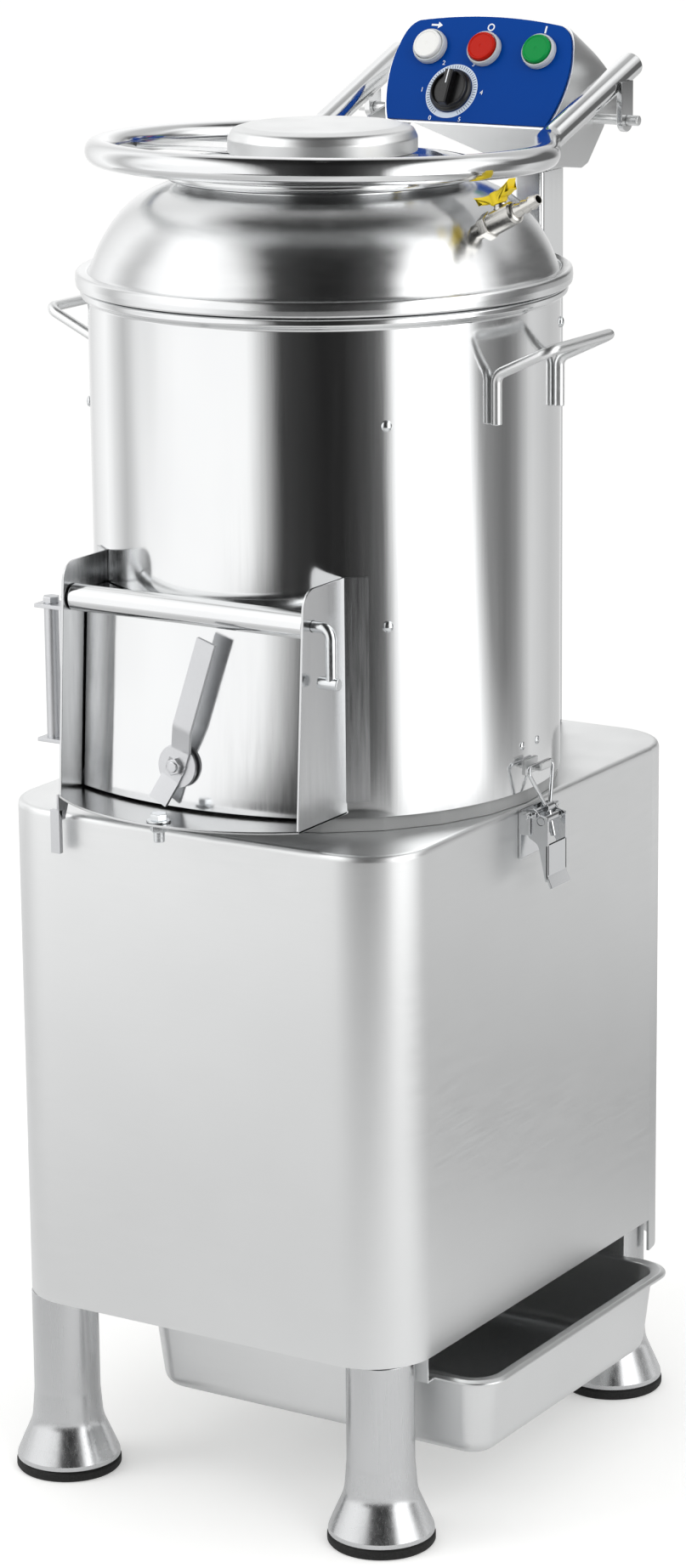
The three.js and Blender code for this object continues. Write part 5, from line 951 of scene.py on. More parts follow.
# Printed polycarbonate film on the panel: deep blue, satin, with a fine grain and hardly a highlight
blue_film, tree, shader = new_material("film_blue_printed", IOR=1.58, Specular_IOR_Level=0.035)
scratched(tree, shader, 0.7, (1, 1, 1), (0.3, 0.38), 0.02, ("#003E92", "#014197"))


def bezier(a, b, c, d, steps):
    """Points of a cubic curve."""
    a, b, c, d = (Vector(p) for p in (a, b, c, d))
    return [tuple(a * (1 - t) ** 3 + b * 3 * t * (1 - t) ** 2 + c * 3 * t * t * (1 - t) + d * t ** 3)
            for t in (k / steps for k in range(steps + 1))]


def panel_outline(inset):
    """A shield with bowed sides, round shoulders and a low crown."""
    foot, waist, low, top, height = 72 - inset, 80.5 - inset, inset, 92 - inset, 92
    side = bezier((foot, low), (waist * 0.99, height * 0.2), (waist * 1.04, height * 0.5),
                  (waist * 0.97, height * 0.7), 12)
    shoulder = Vector((waist * 0.93, top * 0.9))
    crown = Vector((foot * 0.9, top * 0.94))
    side += bend(Vector(side[-1]), shoulder, crown, 8)[1:]
    head = [(crown[0] * (1 - 2 * t), crown[1] * ((1 - t) ** 2 + t * t) + top * 1.055 * 2 * t * (1 - t))
            for t in (k / 16 for k in range(1, 16))]
    return side + head + [(-u, v) for u, v in reversed(side)]


panel_lean = math.radians(29)
panel_up = Vector((0, math.sin(panel_lean), math.cos(panel_lean)))
panel_out = Vector((0, -math.cos(panel_lean), math.sin(panel_lean)))
panel_foot = Vector((0, 208, 1003))
panel_frame = frame_of(panel_foot, (1, 0, 0), panel_up)


def on_panel(u, v, w=0.0):
    """A place on the panel in mm: u to the right, v up its slope, w out of it."""
    return panel_foot + Vector((u, 0, 0)) + panel_up * v + panel_out * w


buttons = (("discharge", "white", -46.9), ("stop", "red", 1.6), ("start", "green", 50.1))
button_row = 62
dial_u = -18.8
dial_v = 26.6
panel = worked("panel_film", plate(panel_outline(1.8), panel_frame, 0.3, 2.3, 0.3))
bored(panel, *[(on_panel(u, button_row), panel_out, 9.8, 12) for name, colour, u in buttons],
      (on_panel(dial_u, dial_v), panel_out, 3.6, 12))
finished(panel, blue_film, "root", ("control_panel",))


# Signs over the buttons: an arrow for the outlet, a ring for stop and a bar for start.
# They are screen printed on the film in white ink, a little proud of it.
# White printing ink: matt, and faintly blue where the film shows through
white_ink, tree, shader = new_material("ink_white_printed", IOR=1.5)
scratched(tree, shader, 1, (1, 1, 1), (0.4, 0.5), 0.0, ("#EDF1F5", "#F6F8FA"))
ink_low = 2.35
ink_high = 2.6
sign_row = 81
arrow = [(-5, 0.8), (1, 0.8), (1, 2.8), (5, 0), (1, -2.8), (1, -0.8), (-5, -0.8)]
bar = [(-0.7, -3), (0.7, -3), (0.7, 3), (-0.7, 3)]
ring_sign = turned([(2.1, ink_low), (3.1, ink_low), (3.1, ink_high), (2.1, ink_high)], 40)
signs = joined(
    plate([(u + buttons[0][2], v + sign_row) for u, v in arrow], panel_frame, ink_low, ink_high, 0.05, 1),
    moved(ring_sign, axis_frame(on_panel(buttons[1][2], sign_row), panel_out)),
    plate([(u + buttons[2][2], v + sign_row) for u, v in bar], panel_frame, ink_low, ink_high, 0.05, 1),
)
finished(worked("panel_signs", signs), white_ink, "root")


# Push buttons: each a moulded cap in a clear bezel that is clamped through a hole in the panel.
# The cap slides in the bezel and sinks 3 mm when it is pressed.
# Clear acrylic, slightly milky: the ring glows pale where light gets into it
clear, tree, shader = new_material("acrylic_clear_moulded", IOR=1.49, Transmission_Weight=0.3)
scratched(tree, shader, 2, (1, 1, 1), (0.1, 0.16), 0.0, ("#E4E9EC", "#EDF1F3"))
# Caps: glossy polycarbonate, coloured through, with light scattered a little inside
caps = {}
for name, code, darker in (("white", "#F6F6F4", "#EFEFEC"), ("red", "#C41C08", "#B81806"),
                           ("green", "#0C9A4A", "#0A8A41")):
    caps[name], tree, shader = new_material(f"polycarbonate_{name}_moulded", IOR=1.58,
                                            Specular_IOR_Level=0.09)
    scratched(tree, shader, 2, (1, 1, 1), (0.16, 0.24), 0.01, (code, darker))
bezel_section = softened([
    (0, -15.4, 0), (9.5, -15.4, 0.5), (9.5, 2.6, 0), (14, 2.6, 0.5), (14, 6.1, 1.2), (13.3, 8.4, 0.8),
    (12.5, 8.6, 0.3), (12.1, 8.2, 0.3), (12.1, 4.1, 0), (7.2, 4.1, 0), (7.2, -13, 0), (0, -13, 0)], 4)
cap_section = softened([
    (0, -4, 0), (6.6, -4, 0.3), (6.6, 7.5, 0), (11.6, 7.5, 0.3), (11.6, 10.6, 0.8), (10.8, 11.6, 0.6),
    (9.9, 11.6, 0.4), (9.4, 11, 0.4), (1.4, 11, 0.2), (1.1, 10.8, 0.2), (0, 10.8, 0)], 4)
for name, colour, u in buttons:
    seat = axis_frame(on_panel(u, button_row), panel_out)
    bezel = worked(f"bezel_{name}", moved(turned(bezel_section, 64), seat))
    finished(bezel, clear, "root", (f"{name}_bezel",))
    cap = worked(f"cap_{name}", moved(turned(cap_section, 64), seat))
    finished(cap, caps[colour], f"{name}_button", (f"{name}_button",))


# Timer: a black moulded knob with a raised grip, pushed on the timer's shaft through the panel.
# Round it a pale ring with fine ticks and the figures 0 to 5 are printed on the film.
dial_place = axis_frame(on_panel(dial_u, dial_v), panel_out)
dial_shift = Matrix.Translation(at(*on_panel(dial_u, dial_v)) - at(*panel_foot))
# Printing inks of the dial: a matt pale blue ring, and ticks in a blue near to black
dial_ink, tree, shader = new_material("ink_pale_blue_printed", IOR=1.5)
scratched(tree, shader, 1, (1, 1, 1), (0.4, 0.5), 0.0, ("#CBD9EB", "#D7E2F0"))
dark_ink, tree, shader = new_material("ink_dark_blue_printed", IOR=1.5)
scratched(tree, shader, 1, (1, 1, 1), (0.4, 0.5), 0.0, ("#1B2F55", "#22375E"))
dial = turned([(17.9, ink_low), (22.4, ink_low), (22.4, ink_high), (17.9, ink_high)], 96)
finished(worked("dial_ring", moved(dial, dial_place)), dial_ink, "root")


def fine_ticks(tree, start):
    """A thin half sunk bar at each guide point, lying along its facing."""
    bar_shape = node(tree, "GeometryNodeMeshCylinder", {
        "Radius": start.outputs["Radius"], "Depth": start.outputs["Length"]}, {"Vertices": 8})
    return on_points(tree, start, bar_shape.outputs["Mesh"], "Z")


dial_start = -150
ticks_per_figure = 10
ticks = []
for i in range(5 * ticks_per_figure + 1):
    turn_to = math.radians(dial_start + 6 * i)
    towards = Vector((math.sin(turn_to), 0, 0)) + panel_up * math.cos(turn_to)
    reach = 20.4 if i % ticks_per_figure else 20.1
    ticks.append((at(*(on_panel(dial_u, dial_v, ink_high) + towards * reach)), towards))
grown("dial_ticks", "dial_ticks", ticks, fine_ticks, {"Radius": 0.22, "Length": 2.6},
      dark_ink, "root")

figure_size = 5.2
figure_reach = 26.6
figures = []
for i in range(6):
    turn_to = math.radians(dial_start + 60 * i)
    text = bpy.data.curves.new("figure", "FONT")
    text.body = str(i)
    text.size = figure_size * mm
    text.extrude = 0.1 * mm
    text.align_x = "CENTER"
    text.align_y = "CENTER"
    letter = bpy.data.objects.new("figure", text)
    shape = bpy.data.meshes.new_from_object(letter)
    spot = Matrix.Translation(Vector(((dial_u + figure_reach * math.sin(turn_to)) * mm,
                                      (dial_v + figure_reach * math.cos(turn_to)) * mm, 2.5 * mm)))
    figure = bmesh.new()
    figure.from_mesh(shape)
    bmesh.ops.remove_doubles(figure, verts=figure.verts[:], dist=1e-6)
    figures.append(moved(figure, panel_frame @ spot))
    bpy.data.objects.remove(letter)
finished(worked("dial_figures", joined(*figures)), white_ink, "root")

knob = turned(softened([(0, -11, 0), (3, -11, 0.4), (3, 2.9, 0), (17.5, 2.9, 0.3), (17.5, 5.4, 1),
                        (16, 7.1, 1), (0, 7.1, 0)], 4), 96)
grip_outline = softened([(-3.5, -15, 1.2), (3.5, -15, 1.2), (3.5, 15, 1.2), (-3.5, 15, 1.2)], 3)
grip = plate(grip_outline, panel_frame, 6, 14.4, 1.0, 4)
to_panel = panel_frame.inverted()
for vert in grip.verts:
    if (to_panel @ vert.co).z / mm > 10:
        vert.co = panel_frame @ Matrix.Diagonal((1, 0.93, 1, 1)) @ to_panel @ vert.co
knob_rim = turned(softened([(13.4, 6, 0), (15.7, 6, 0), (15.3, 8.4, 0.6), (14.6, 9.4, 0.5),
                            (13.4, 9, 0.4)], 3), 96)
knob_whole = joined(moved(knob, dial_place), moved(knob_rim, dial_place), moved(grip, dial_shift))
finished(worked("knob_moulding", knob_whole), black_plastic, "timer_knob", ("timer_knob",))
pointer = plate([(-0.45, 2), (0.45, 2), (0.45, 13.5), (-0.45, 13.5)], panel_frame, 14.35, 14.55, 0.05, 1)
finished(worked("knob_pointer", moved(pointer, dial_shift)), white_ink, "timer_knob")


# Chute: two cheeks and a bowed floor of 2 mm stainless sheet, welded up along their edges.
# Its two rolled flanges are spot welded to the barrel beside the outlet.
def plan_frame(x, y, z):
    """A level frame at a place in mm, for plates that lie flat."""
    return frame_of((x, y, z), (1, 0, 0), (0, 1, 0))


def swept_sheet(inner, outer, start, end, low, high):
    """A strip of rolled sheet on the barrel's wall, between two azimuths measured from the front."""
    azimuths = [start + (end - start) * k / 10 for k in range(11)]
    front = [(outer * math.sin(azimuth), -outer * math.cos(azimuth)) for azimuth in azimuths]
    rear_side = [(x * inner / outer, y * inner / outer) for x, y in reversed(front)]
    return plate(front + rear_side, plan_frame(0, 0, low), 0, high - low, 0.3)


chute_side = 103
chute_low = 548
chute_high = 722
door_pin = (-186, 695)
striker_place = (2, -234)
cheek_tip = bend(Vector((-198, 706)), Vector((-197.4, 720)), Vector((-184, chute_high)), 10)
cheek = [(-142.2, chute_low), (-208, chute_low)] + cheek_tip + [(-142.2, chute_high)]
floor_plan = [(x, -71 - math.sqrt(172 ** 2 - x * x)) for x in range(-104, 105, 8)]
floor_plan += [(x, -math.sqrt(175.4 ** 2 - x * x)) for x in range(104, -105, -8)]
flange_start = math.asin(102 / 176.3)
flange_end = math.asin(117 / 176.3)
chute = joined(*[swept_sheet(175.3, 177.3, side * flange_start, side * flange_end, 556, chute_high)
                 for side in (-1, 1)])
chute_sheets = [(plate(floor_plan, plan_frame(0, 0, chute_low), 0, sheet, 0.4),
                 (*striker_place, 549), (0, 0, 1))]
for side in (-1, 1):
    chute_sheets.append((plate(cheek, side_plane, chute_side * side - 1, chute_side * side + 1, 0.4),
                         (chute_side * side, *door_pin), (1, 0, 0)))
for bm, place, along in chute_sheets:
    add_bored(chute, bm, (place, along, 4.4, 8))
# Sheet polished after welding: not quite a mirror, its reflections smeared up and down
chute_steel, tree, shader = new_material("stainless_polished_weldment", Metallic=1.0)
scratched(tree, shader, 3, (1, 1, 0.05), (0.18, 0.26), 0.006, ("#D3D4D5", "#DCDDDE"))
finished(worked("chute_sheet", chute), chute_steel, "root", ("outlet_chute",))


# Striker: a zinc plated M8 bolt with a washer and a nut, up through the chute's floor.
# The tail of the door lever swings down beside its head and holds the door shut.
bolt_hexagon = 6.5
bolt_section = softened([(0, 535, 0), (4, 535, 0.8), (4, 550.3, 0), (9, 550.3, 0.3), (9, 551.5, 0.3),
                         (0, 551.5, 0)], 3)
bolt_frame = plan_frame(*striker_place, 0)
striker = joined(
    moved(turned(bolt_section, 32), Matrix.Translation(at(*striker_place, 0) - at(0, 0, 0))),
    plate(hexagon(bolt_hexagon), bolt_frame, 551.3, 556.3, 0.8, 3),
    plate(hexagon(bolt_hexagon, 0.4), bolt_frame, 542.7, 547.7, 0.8, 3),
)
finished(worked("striker_screw", striker), zinc_steel, "root", ("striker_bolt",))


# Door: a curved gate of 2.5 mm polished sheet, welded to a sleeve that turns on the door pin.
# A flat web behind the sleeve closes the gap to the barrel.
door_half = 100.5
door_radius = 265
door_face = 65
door_sheet = 2.5
door_slope = 0.069
door_low = 552
door_rise = 145


def door_ring(inset, z):
    half = door_half - inset
    lean = door_slope * (z - door_low)
    xs = [half * (k / 24 - 1) for k in range(49)]
    front = [at(x, door_face - math.sqrt(door_radius ** 2 - x * x) + lean + inset, z) for x in xs]
    behind = [at(x, door_face + door_sheet - math.sqrt(door_radius ** 2 - x * x) + lean - inset, z)
              for x in reversed(xs)]
    return front + behind


door_rings = [door_ring(0.4, door_low), door_ring(0.1, door_low + 0.15), door_ring(0, door_low + 0.5)]
door_rings += [door_ring(0, door_low + door_rise * k / 12) for k in range(1, 12)]
door_rings += [door_ring(0, door_low + door_rise - 0.5), door_ring(0.4, door_low + door_rise)]
web = [(-door_half, door_pin[0]), (door_half, door_pin[0])]
web += [(x, -math.sqrt(176.6 ** 2 - x * x)) for x in [door_half - 8.375 * k for k in range(25)]]
sleeve = turned(softened([(4.4, -door_half, 0), (10, -door_half, 0.6), (10, door_half, 0.6),
                          (4.4, door_half, 0)], 3), 48)
door = joined(
    outward(skinned(door_rings)),
    moved(sleeve, axis_frame((0, *door_pin), (1, 0, 0))),
    plate(web, plan_frame(0, 0, 696.3), 0, sheet, 0.3),
)
finished(worked("door_gate", door), mirror_steel, "door", ("outlet_door",))


# Door pin: an 8 mm zinc plated rod through both cheeks and the sleeve, with a nut on its left end.
# Its right end is cranked down and carries a short cross bar to lift the door by.
crank_side = 119
crank_low = 655
crank = curved([(-109.6, *door_pin), (crank_side, *door_pin), (crank_side, door_pin[0], crank_low)], 8, 8)
hinge_rod = joined(
    rod(crank, 4, 24),
    plate(hexagon(bolt_hexagon), frame_of((-109.3, *door_pin), (0, 1, 0), (0, 0, 1)), 0, 5, 0.8, 3),
    rod([(108.8, door_pin[0], crank_low), (125.8, door_pin[0], crank_low)], 4.5, 24, 1),
)
finished(worked("door_hinge_rod", hinge_rod), zinc_steel, "door", ("door_pin",))


# Door lever: a joggled bar of 3 by 16 mm flat stainless, clamped on a disc and stud on the door's face.
# Its tail points down past the striker, and turning the bar up frees it.
# Tumbled stainless: duller and greyer than the ground sheet, as small stamped bars come from the barrel
tumbled_steel, tree, shader = new_material("stainless_tumbled", Metallic=1.0)
scratched(tree, shader, 1.5, (1, 1, 1), (0.34, 0.44), 0.01, ("#D2D3D5", "#DCDDDF"))


def folded(line, thickness, width, matrix, edge=0.4):
    """A flat bar folded along a line of (distance, height) pairs, across the matrix's Z."""
    points = [Vector(p) for p in line]
    upper, lower = [], []
    for i, point in enumerate(points):
        run = (points[min(i + 1, len(points) - 1)] - points[max(i - 1, 0)]).normalized()
        normal = Vector((-run.y, run.x)) * thickness / 2
        upper.append(tuple(point + normal))
        lower.append(tuple(point - normal))
    return plate(upper + lower[::-1], matrix, -width / 2, width / 2, edge)


door_lean = math.atan(door_slope)
bar_thickness = 3
bar_width = 16
bar_turn = math.radians(17)
tail_turn = math.radians(25.5)
lever_place = Vector((-3, -197.9, 583))
lever_up = Vector((0, math.sin(door_lean), math.cos(door_lean)))
lever_out = Vector((0, -math.cos(door_lean), math.sin(door_lean)))
bar_way = Vector((math.sin(bar_turn), 0, 0)) + lever_up * math.cos(bar_turn)
tail_way = -Vector((math.sin(tail_turn), 0, 0)) - lever_up * math.cos(tail_turn)
lever_axis = axis_frame(lever_place, lever_out)
bar_line = softened([(-4, 4.9, 0), (13, 4.9, 6), (31, 12, 12), (99.8, 13.2, 0)], 5)
tail_line = softened([(-4, 4.9, 0), (10, 4.9, 6), (29.5, 9.0, 0)], 5)
lever = joined(
    moved(turned(softened([(0, 1.8, 0), (16, 1.8, 0.4), (16, 4.6, 0.6), (0, 4.6, 0)], 3), 64), lever_axis),
    moved(turned(softened([(0, 0.35, 0), (4, 0.35, 0), (4, 11.4, 0.8), (0, 11.4, 0)], 3), 32), lever_axis),
    plate(hexagon(bolt_hexagon, 0.3), frame_of(lever_place, (1, 0, 0), lever_up), 5, 10, 0.8, 3),
    folded(bar_line, bar_thickness, bar_width, frame_of(lever_place, bar_way, lever_out)),
    folded(tail_line, bar_thickness, bar_width, frame_of(lever_place, tail_way, lever_out)),
)
finished(worked("lever_bar", lever), tumbled_steel, "door_lever", ("door_lever",))


# Stay: a sleeved rod between two lugs on the outside of the chute's left cheek, held by a nut on top.
# The lugs are welded to a strip of flat bar that runs down past the chute's floor.
def block(low, high):
    """A sheet metal rectangle with eased edges, given by two corners in mm."""
    return plate([(low[0], low[1]), (high[0], low[1]), (high[0], high[1]), (low[0], high[1])],
                 plan_frame(0, 0, 0), low[2], high[2], 0.35)


strip_outer = -106.3
strip_inner = -104.4
stay_place = (-126, -180.5)
gusset = [(-192, 550), (-208, 550), (-208, 538), (-204, 530), (-200, 530)]
stay = joined(
    block((-135, -189.5, 583), (strip_inner, -171.5, 586)),
    block((-135, -189.5, 684), (strip_inner, -171.5, 687)),
    rod([(*stay_place, 584), (*stay_place, 688)], 5.5, 28),
    plate(hexagon(bolt_hexagon), plan_frame(*stay_place, 0), 687, 692, 0.8, 3),
    block((strip_outer, -198, 545), (strip_inner, -182, 687)),
    plate(gusset, side_plane, strip_outer, strip_inner, 0.3),
    block((-112.3, -208, 505), (strip_inner, -204, 538)),
)
finished(worked("stay_bar", stay), tumbled_steel, "root", ("chute_stay",))


# Side handles: bent from 8 mm round stainless bar and welded to the barrel by both feet.
# Two people lift the barrel off by them once the latches are open.
bow_foot = 173.15
bow_reach = 217.9
bow_half = 46
bow_corners = [(bow_foot, -bow_half, 823), (bow_foot, -bow_half, 859), (bow_reach, -bow_half, 880),
               (bow_reach, bow_half, 880), (bow_foot, bow_half, 859), (bow_foot, bow_half, 823)]
for side, name in ((-1, "left"), (1, "right")):
    bow = rod(curved([(side * x, y, z) for x, y, z in bow_corners], 9, 8), 4, 24, 0.8)
    finished(worked(f"side_bow_{name}", bow), satin_steel, "root",
             (f"side_handle_{name}",))


# Toggle latches: a riveted base, a folded lever on its pin, and a wire bail on a screwed tie rod.
# Pulled past its dead point, the lever clamps the barrel's strike down on to the deck.
toggle_pin = (184, 0, 528.5)
bail_pin_x = 191.97
bail_pin_z = 523.9
neck_x = 190.21
neck_z = 531.88
hook_x = 183.19
hook_z = 563.8
cheek_outline = softened([
    (179.2, 528.5, 4), (180.6, 532.6, 3), (186, 533.2, 3), (191, 528.4, 4), (198, 526.5, 3), (198, 478, 2),
    (195.6, 478, 1), (189.5, 506, 8), (181, 510, 5)], 5)
web_fold = softened([(197, 506, 0), (197, 482, 6), (200.6, 473.6, 0)], 6)
# Barrel polished stainless, as small bought-in fittings have: bright, with deep contrast
fitting_steel, tree, shader = new_material("stainless_barrel_polished", Metallic=1.0)
scratched(tree, shader, 1.2, (1, 1, 1), (0.1, 0.16), 0.01, ("#D6D8DA", "#E4E5E6"))
for side, name in ((-1, "left"), (1, "right")):
    half_turn = Matrix.Rotation(0 if side > 0 else math.pi, 4, "Z")
    about = Matrix.Translation(at(0, 0, 0)) @ half_turn @ Matrix.Translation(-at(0, 0, 0))
    refined(f"latch_plate_{name}", f"latch_base_{name}", fitting_steel, "root", 0.35)
    toggle = bmesh.new()
    for low in (-14.2, 12.2):
        add_bored(toggle, plate(cheek_outline, front_plane, low, low + 2, 0.4),
                  (toggle_pin, (0, 1, 0), 2.9, 40), ((bail_pin_x, 0, bail_pin_z), (0, 1, 0), 3.4, 40))
    toggle = joined(toggle, folded(web_fold, 2, 28.4, front_plane, 0.5))
    finished(worked(f"latch_toggle_{name}", moved(toggle, about)), fitting_steel, f"latch_lever_{name}",
             (f"latch_lever_{name}",))
    neck = Vector((neck_x, 0, neck_z))
    wire_way = Vector((-0.2149, 0, 0.9766))
    wire = curved([(neck_x, 2.5, neck_z), (hook_x, 20, hook_z), (hook_x, -20, hook_z),
                   (neck_x, -2.5, neck_z)], 4, 6)
    bail = joined(
        rod([(bail_pin_x, -14.2, bail_pin_z), (bail_pin_x, 14.2, bail_pin_z)], 3, 20, 0.3),
        rod([neck - wire_way * 22, neck], 2.2, 16, 0.4),
        rod([(neck_x, -5, neck_z), (neck_x, 5, neck_z)], 3.4, 20, 0.5),
        rod(wire, 1.5, 12, 0.3),
    )
    finished(worked(f"latch_wire_{name}", moved(bail, about)), fitting_steel, f"latch_bail_{name}",
             (f"latch_bail_{name}",))


# Studio floor: pale paper that keeps the machine's shadow, laid level under its feet.
# It glows a little wherever the camera, glass or metal shows it, so that it stays near white.
# Two grey cards are painted on it, before and behind the machine, as painted reflections that only bright
# metal shows; where metal mirrors the rest of it, the paper is painted a shade greyer too.
floor_mesh = bmesh.new()
bmesh.ops.create_grid(floor_mesh, x_segments=1, y_segments=1, size=12)
floor = worked("floor", floor_mesh)


def background_rays(tree):
    """Rays off bright metal, and rays that show the background: those, the camera's and through glass."""
    rays = node(tree, "ShaderNodeLightPath")
    seen = node(tree, "ShaderNodeMath", {
        0: rays.outputs["Is Camera Ray"], 1: rays.outputs["Is Transmission Ray"]}, operation="MAXIMUM")
    shown = node(tree, "ShaderNodeMath", {0: seen.outputs["Value"], 1: rays.outputs["Is Glossy Ray"]},
                 operation="MAXIMUM")
    return rays.outputs["Is Glossy Ray"], shown.outputs["Value"]


# Uncoated white paper: matt, with an even tone to the camera; in metal it shows as a greyer painted
# reflection
paper = bpy.data.materials.new("paper_white_floor")
paper.use_nodes = True
tree = paper.node_tree
tree.nodes.clear()
glossy, shown = background_rays(tree)
glow = node(tree, "ShaderNodeMath", {0: shown}, {1: 0.33}, operation="MULTIPLY")
place = node(tree, "ShaderNodeTexCoord")
beyond = node(tree, "ShaderNodeVectorMath", {0: place.outputs["Object"]}, {1: (0.53, 0.85, 0)},
              operation="DOT_PRODUCT").outputs["Value"]
# The grey cards: painted reflections, grey only where glossy rays meet the floor, so that they darken the
# metal
cards = []
for near, full, strength, far, faded in ((0.35, 0.9, 1.0, 1.8, 0.9), (-0.3, -0.6, 0.4, -1.9, -1.0)):
    rising = node(tree, "ShaderNodeMapRange", {"Value": beyond},
                  {"From Min": near, "From Max": full, "To Max": strength})
    falling = node(tree, "ShaderNodeMapRange", {"Value": beyond}, {"From Min": far, "From Max": faded})
    card = node(tree, "ShaderNodeMath", {0: rising.outputs["Result"], 1: falling.outputs["Result"]},
                operation="MULTIPLY")
    cards.append(card.outputs["Value"])
both_cards = node(tree, "ShaderNodeMath", {0: cards[0], 1: cards[1]}, operation="MAXIMUM")
mirrored = node(tree, "ShaderNodeMath", {0: both_cards.outputs["Value"], 1: glossy}, operation="MULTIPLY")
# Painted reflection: to glossy rays the whole paper is a shade greyer than to the camera
in_metal = node(tree, "ShaderNodeMix", {0: glossy}, {6: linear("#F1F1F0"), 7: linear("#CFCFCF")},
                data_type="RGBA")
tone = node(tree, "ShaderNodeMix", {0: mirrored.outputs["Value"], 6: in_metal.outputs[2]},
            {7: linear("#8E8E8E")}, data_type="RGBA")
matt = node(tree, "ShaderNodeBsdfDiffuse", {"Color": tone.outputs[2]})
light = node(tree, "ShaderNodeEmission", {"Strength": glow.outputs["Value"], "Color": tone.outputs[2]})
both = node(tree, "ShaderNodeAddShader", {0: matt.outputs["BSDF"], 1: light.outputs["Emission"]})
node(tree, "ShaderNodeOutputMaterial", {"Surface": both.outputs["Shader"]})
floor.data.materials.append(paper)


# Surround and lamps: an even white surround a little under full strength, and two soft square lamps.
# The left one is the main light and shows in the metal; the right one only fills the shadows.
world = bpy.data.worlds.new("surround")
bpy.context.scene.world = world
world.use_nodes = True
tree = world.node_tree
tree.nodes.clear()
glossy, shown = background_rays(tree)
evenness = node(tree, "ShaderNodeMapRange", {"Value": shown}, {"To Min": 0.82, "To Max": 1.0})
sky = node(tree, "ShaderNodeBackground", {"Strength": evenness.outputs["Result"]}, {"Color": (1, 1, 1, 1)})
node(tree, "ShaderNodeOutputWorld", {"Surface": sky.outputs["Background"]})

lit_place = Vector((0, 0, 0.6))
for name, spot, size, power in (("lamp_left", (-1.9, -1.9, 2.6), 1.6, 22),
                                ("lamp_right", (2.4, -1.2, 2.2), 1.4, 14)):
    lamp = bpy.data.lights.new(name, "AREA")
    lamp.size = size
    lamp.energy = power
    lamp_piece = bpy.data.objects.new(name, lamp)
    lamp_piece.location = spot
    lamp_piece.rotation_euler = (lit_place - Vector(spot)).to_track_quat("-Z", "Y").to_euler()
    lamp_piece.visible_glossy = name == "lamp_left"
    bpy.context.scene.collection.objects.link(lamp_piece)


# Banded tent: black, grey and white cloth hung round the machine, as is done for polished work.
# Only glossy rays meet it, so it gives the metal its upright bands and lights nothing else.
tent_profile = [(1.6, 0.17), (1.6, 0.7), (1.6, 1.4), (1.45, 1.85), (1.05, 2.2), (0.5, 2.38), (0.02, 2.42)]
tent_sides = 120
tent_bm = bmesh.new()
tent_rows = []
for radius, z in tent_profile:
    row = []
    for i in range(tent_sides):
        angle = math.radians(3 * i)
        row.append(tent_bm.verts.new((radius * math.cos(angle), radius * math.sin(angle), z)))
    tent_rows.append(row)
for low, high in zip(tent_rows, tent_rows[1:]):
    for i in range(tent_sides):
        j = (i + 1) % tent_sides
        tent_bm.faces.new((low[i], low[j], high[j], high[i]))
tent = worked("banded_tent", tent_bm)
bands = bpy.data.materials.new("cloth_banded_tent")
bands.use_nodes = True
tree = bands.node_tree
tree.nodes.clear()

# Directions from the middle of the tent: to the camera's right, towards its side of the room, and up
place = node(tree, "ShaderNodeTexCoord")
from_middle = node(tree, "ShaderNodeVectorMath", {0: place.outputs["Object"]}, {1: (0, 0, 0.75)},
                   operation="SUBTRACT")
way = node(tree, "ShaderNodeVectorMath", {0: from_middle.outputs["Vector"]},
           operation="NORMALIZE").outputs["Vector"]
sideways = node(tree, "ShaderNodeVectorMath", {0: way}, {1: level},
                operation="DOT_PRODUCT").outputs["Value"]
forward = Vector((math.sin(camera_turn), -math.cos(camera_turn), 0))
ahead = node(tree, "ShaderNodeVectorMath", {0: way}, {1: forward},
             operation="DOT_PRODUCT").outputs["Value"]
height = node(tree, "ShaderNodeSeparateXYZ", {"Vector": way}).outputs["Z"]

# Regions of the tent: each is a share that goes from 0 to 1 between two values of one direction
region = {}
for name, value, start, end in (
        ("below", height, -0.2, -0.24),
        ("left", sideways, 0.0, -0.3),
        ("under_roof", height, 0.75, 0.55),
        ("far_back", ahead, -0.25, -0.4),
        ("rear_half", ahead, 0.0, -0.2),
        ("above_middle", height, 0.02, 0.1),
        ("under_shoulder", height, 0.5, 0.4),
        ("right", sideways, 0.4, 0.6),
        ("past_side", ahead, 0.0, -0.15),
        ("far_right", sideways, 0.5, 0.62),
        ("front_half", ahead, 0.0, 0.3)):
    share = node(tree, "ShaderNodeMapRange", {"Value": value}, {"From Min": start, "From Max": end})
    region[name] = share.outputs["Result"]
for name, first, second, operation in (
        ("low_left", "below", "left", "MULTIPLY"),
        ("low_or_far", "under_roof", "far_back", "MAXIMUM"),
        ("behind", "rear_half", "low_or_far", "MULTIPLY"),
        ("raised", "above_middle", "under_shoulder", "MULTIPLY"),
        ("aside", "right", "past_side", "MULTIPLY"),
        ("upper_card", "raised", "aside", "MULTIPLY"),
        ("window", "far_right", "front_half", "MULTIPLY")):
    both = node(tree, "ShaderNodeMath", {0: region[first], 1: region[second]}, operation=operation)
    region[name] = both.outputs["Value"]

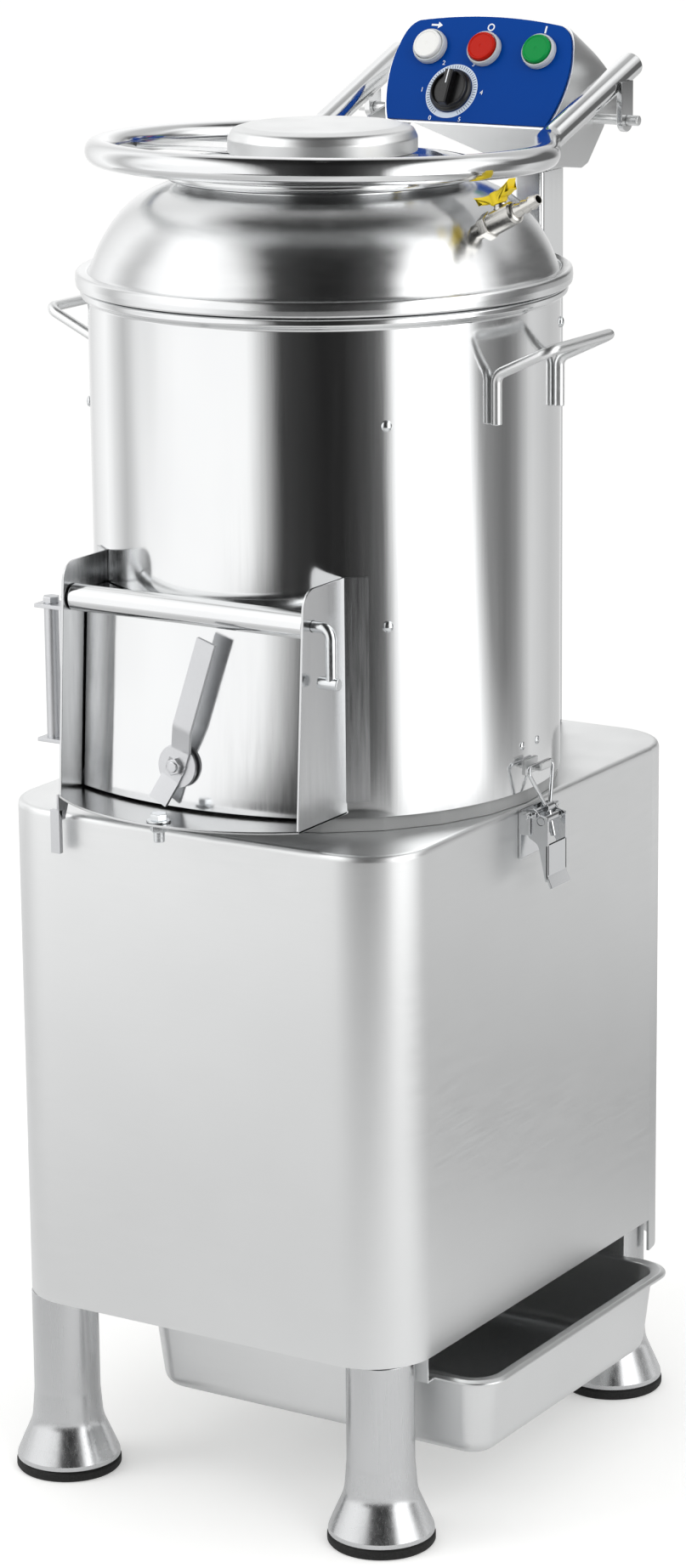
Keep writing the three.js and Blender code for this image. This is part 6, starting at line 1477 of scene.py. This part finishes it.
# In front, bands by how far to the side they hang, drawn wider low on the left; behind, bands by azimuth
widened = node(tree, "ShaderNodeMath", {0: region["low_left"], 2: sideways}, {1: 0.22},
               operation="MULTIPLY_ADD")
across = node(tree, "ShaderNodeMapRange", {"Value": widened.outputs["Value"]}, {"From Min": -1.0})
round_tent = node(tree, "ShaderNodeCombineXYZ", {"X": ahead, "Y": sideways})
around = node(tree, "ShaderNodeTexGradient", {"Vector": round_tent.outputs["Vector"]},
              gradient_type="RADIAL")
front_stops = [(0.5 + 0.5 * share, grey) for share, grey in (
    (-1, 232), (-0.985, 249), (-0.94, 255), (-0.574, 255), (-0.36, 61), (-0.035, 35), (0.122, 38),
    (0.276, 64), (0.42, 99), (0.5, 255), (0.857, 255), (0.914, 219), (0.961, 114), (1, 109))]
rear_stops = [(0.5 + azimuth / 360, grey) for azimuth, grey in (
    (-180, 255), (-151, 219), (-126, 255), (-108, 190), (-94, 232), (-88, 245), (88, 109), (100, 142),
    (112, 214), (135, 190), (158, 196), (180, 255))]
cloths = []
for factor, stops in ((across.outputs["Result"], front_stops), (around.outputs["Fac"], rear_stops)):
    cloth = node(tree, "ShaderNodeValToRGB", {"Fac": factor})
    ramp = cloth.color_ramp
    while len(ramp.elements) < len(stops):
        ramp.elements.new(0.5)
    for element, (share, grey) in zip(ramp.elements, stops):
        element.position = share
        element.color = linear(f"#{grey:02X}{grey:02X}{grey:02X}")
    cloths.append(cloth.outputs["Color"])
banding = node(tree, "ShaderNodeMix", {0: region["behind"], 6: cloths[0], 7: cloths[1]}, data_type="RGBA")
tones = node(tree, "ShaderNodeMix", {0: region["upper_card"], 6: banding.outputs[2]},
             {7: linear("#606060")}, data_type="RGBA")

# The roof is a little dimmer than the walls, and a window far to the right shines brighter
overhead = node(tree, "ShaderNodeMapRange", {"Value": height}, {
    "From Min": 0.8, "From Max": 0.95, "To Min": 1.15, "To Max": 0.7})
window_gain = node(tree, "ShaderNodeMapRange", {"Value": region["window"]}, {"To Min": 1.0, "To Max": 1.9})
gain = node(tree, "ShaderNodeMath", {0: overhead.outputs["Result"], 1: window_gain.outputs["Result"]},
            operation="MULTIPLY")
shine = node(tree, "ShaderNodeEmission", {"Color": tones.outputs[2], "Strength": gain.outputs["Value"]})
node(tree, "ShaderNodeOutputMaterial", {"Surface": shine.outputs["Emission"]})
tent.data.materials.append(bands)
tent.visible_camera = False
tent.visible_diffuse = False
tent.visible_shadow = False
tent.visible_transmission = False
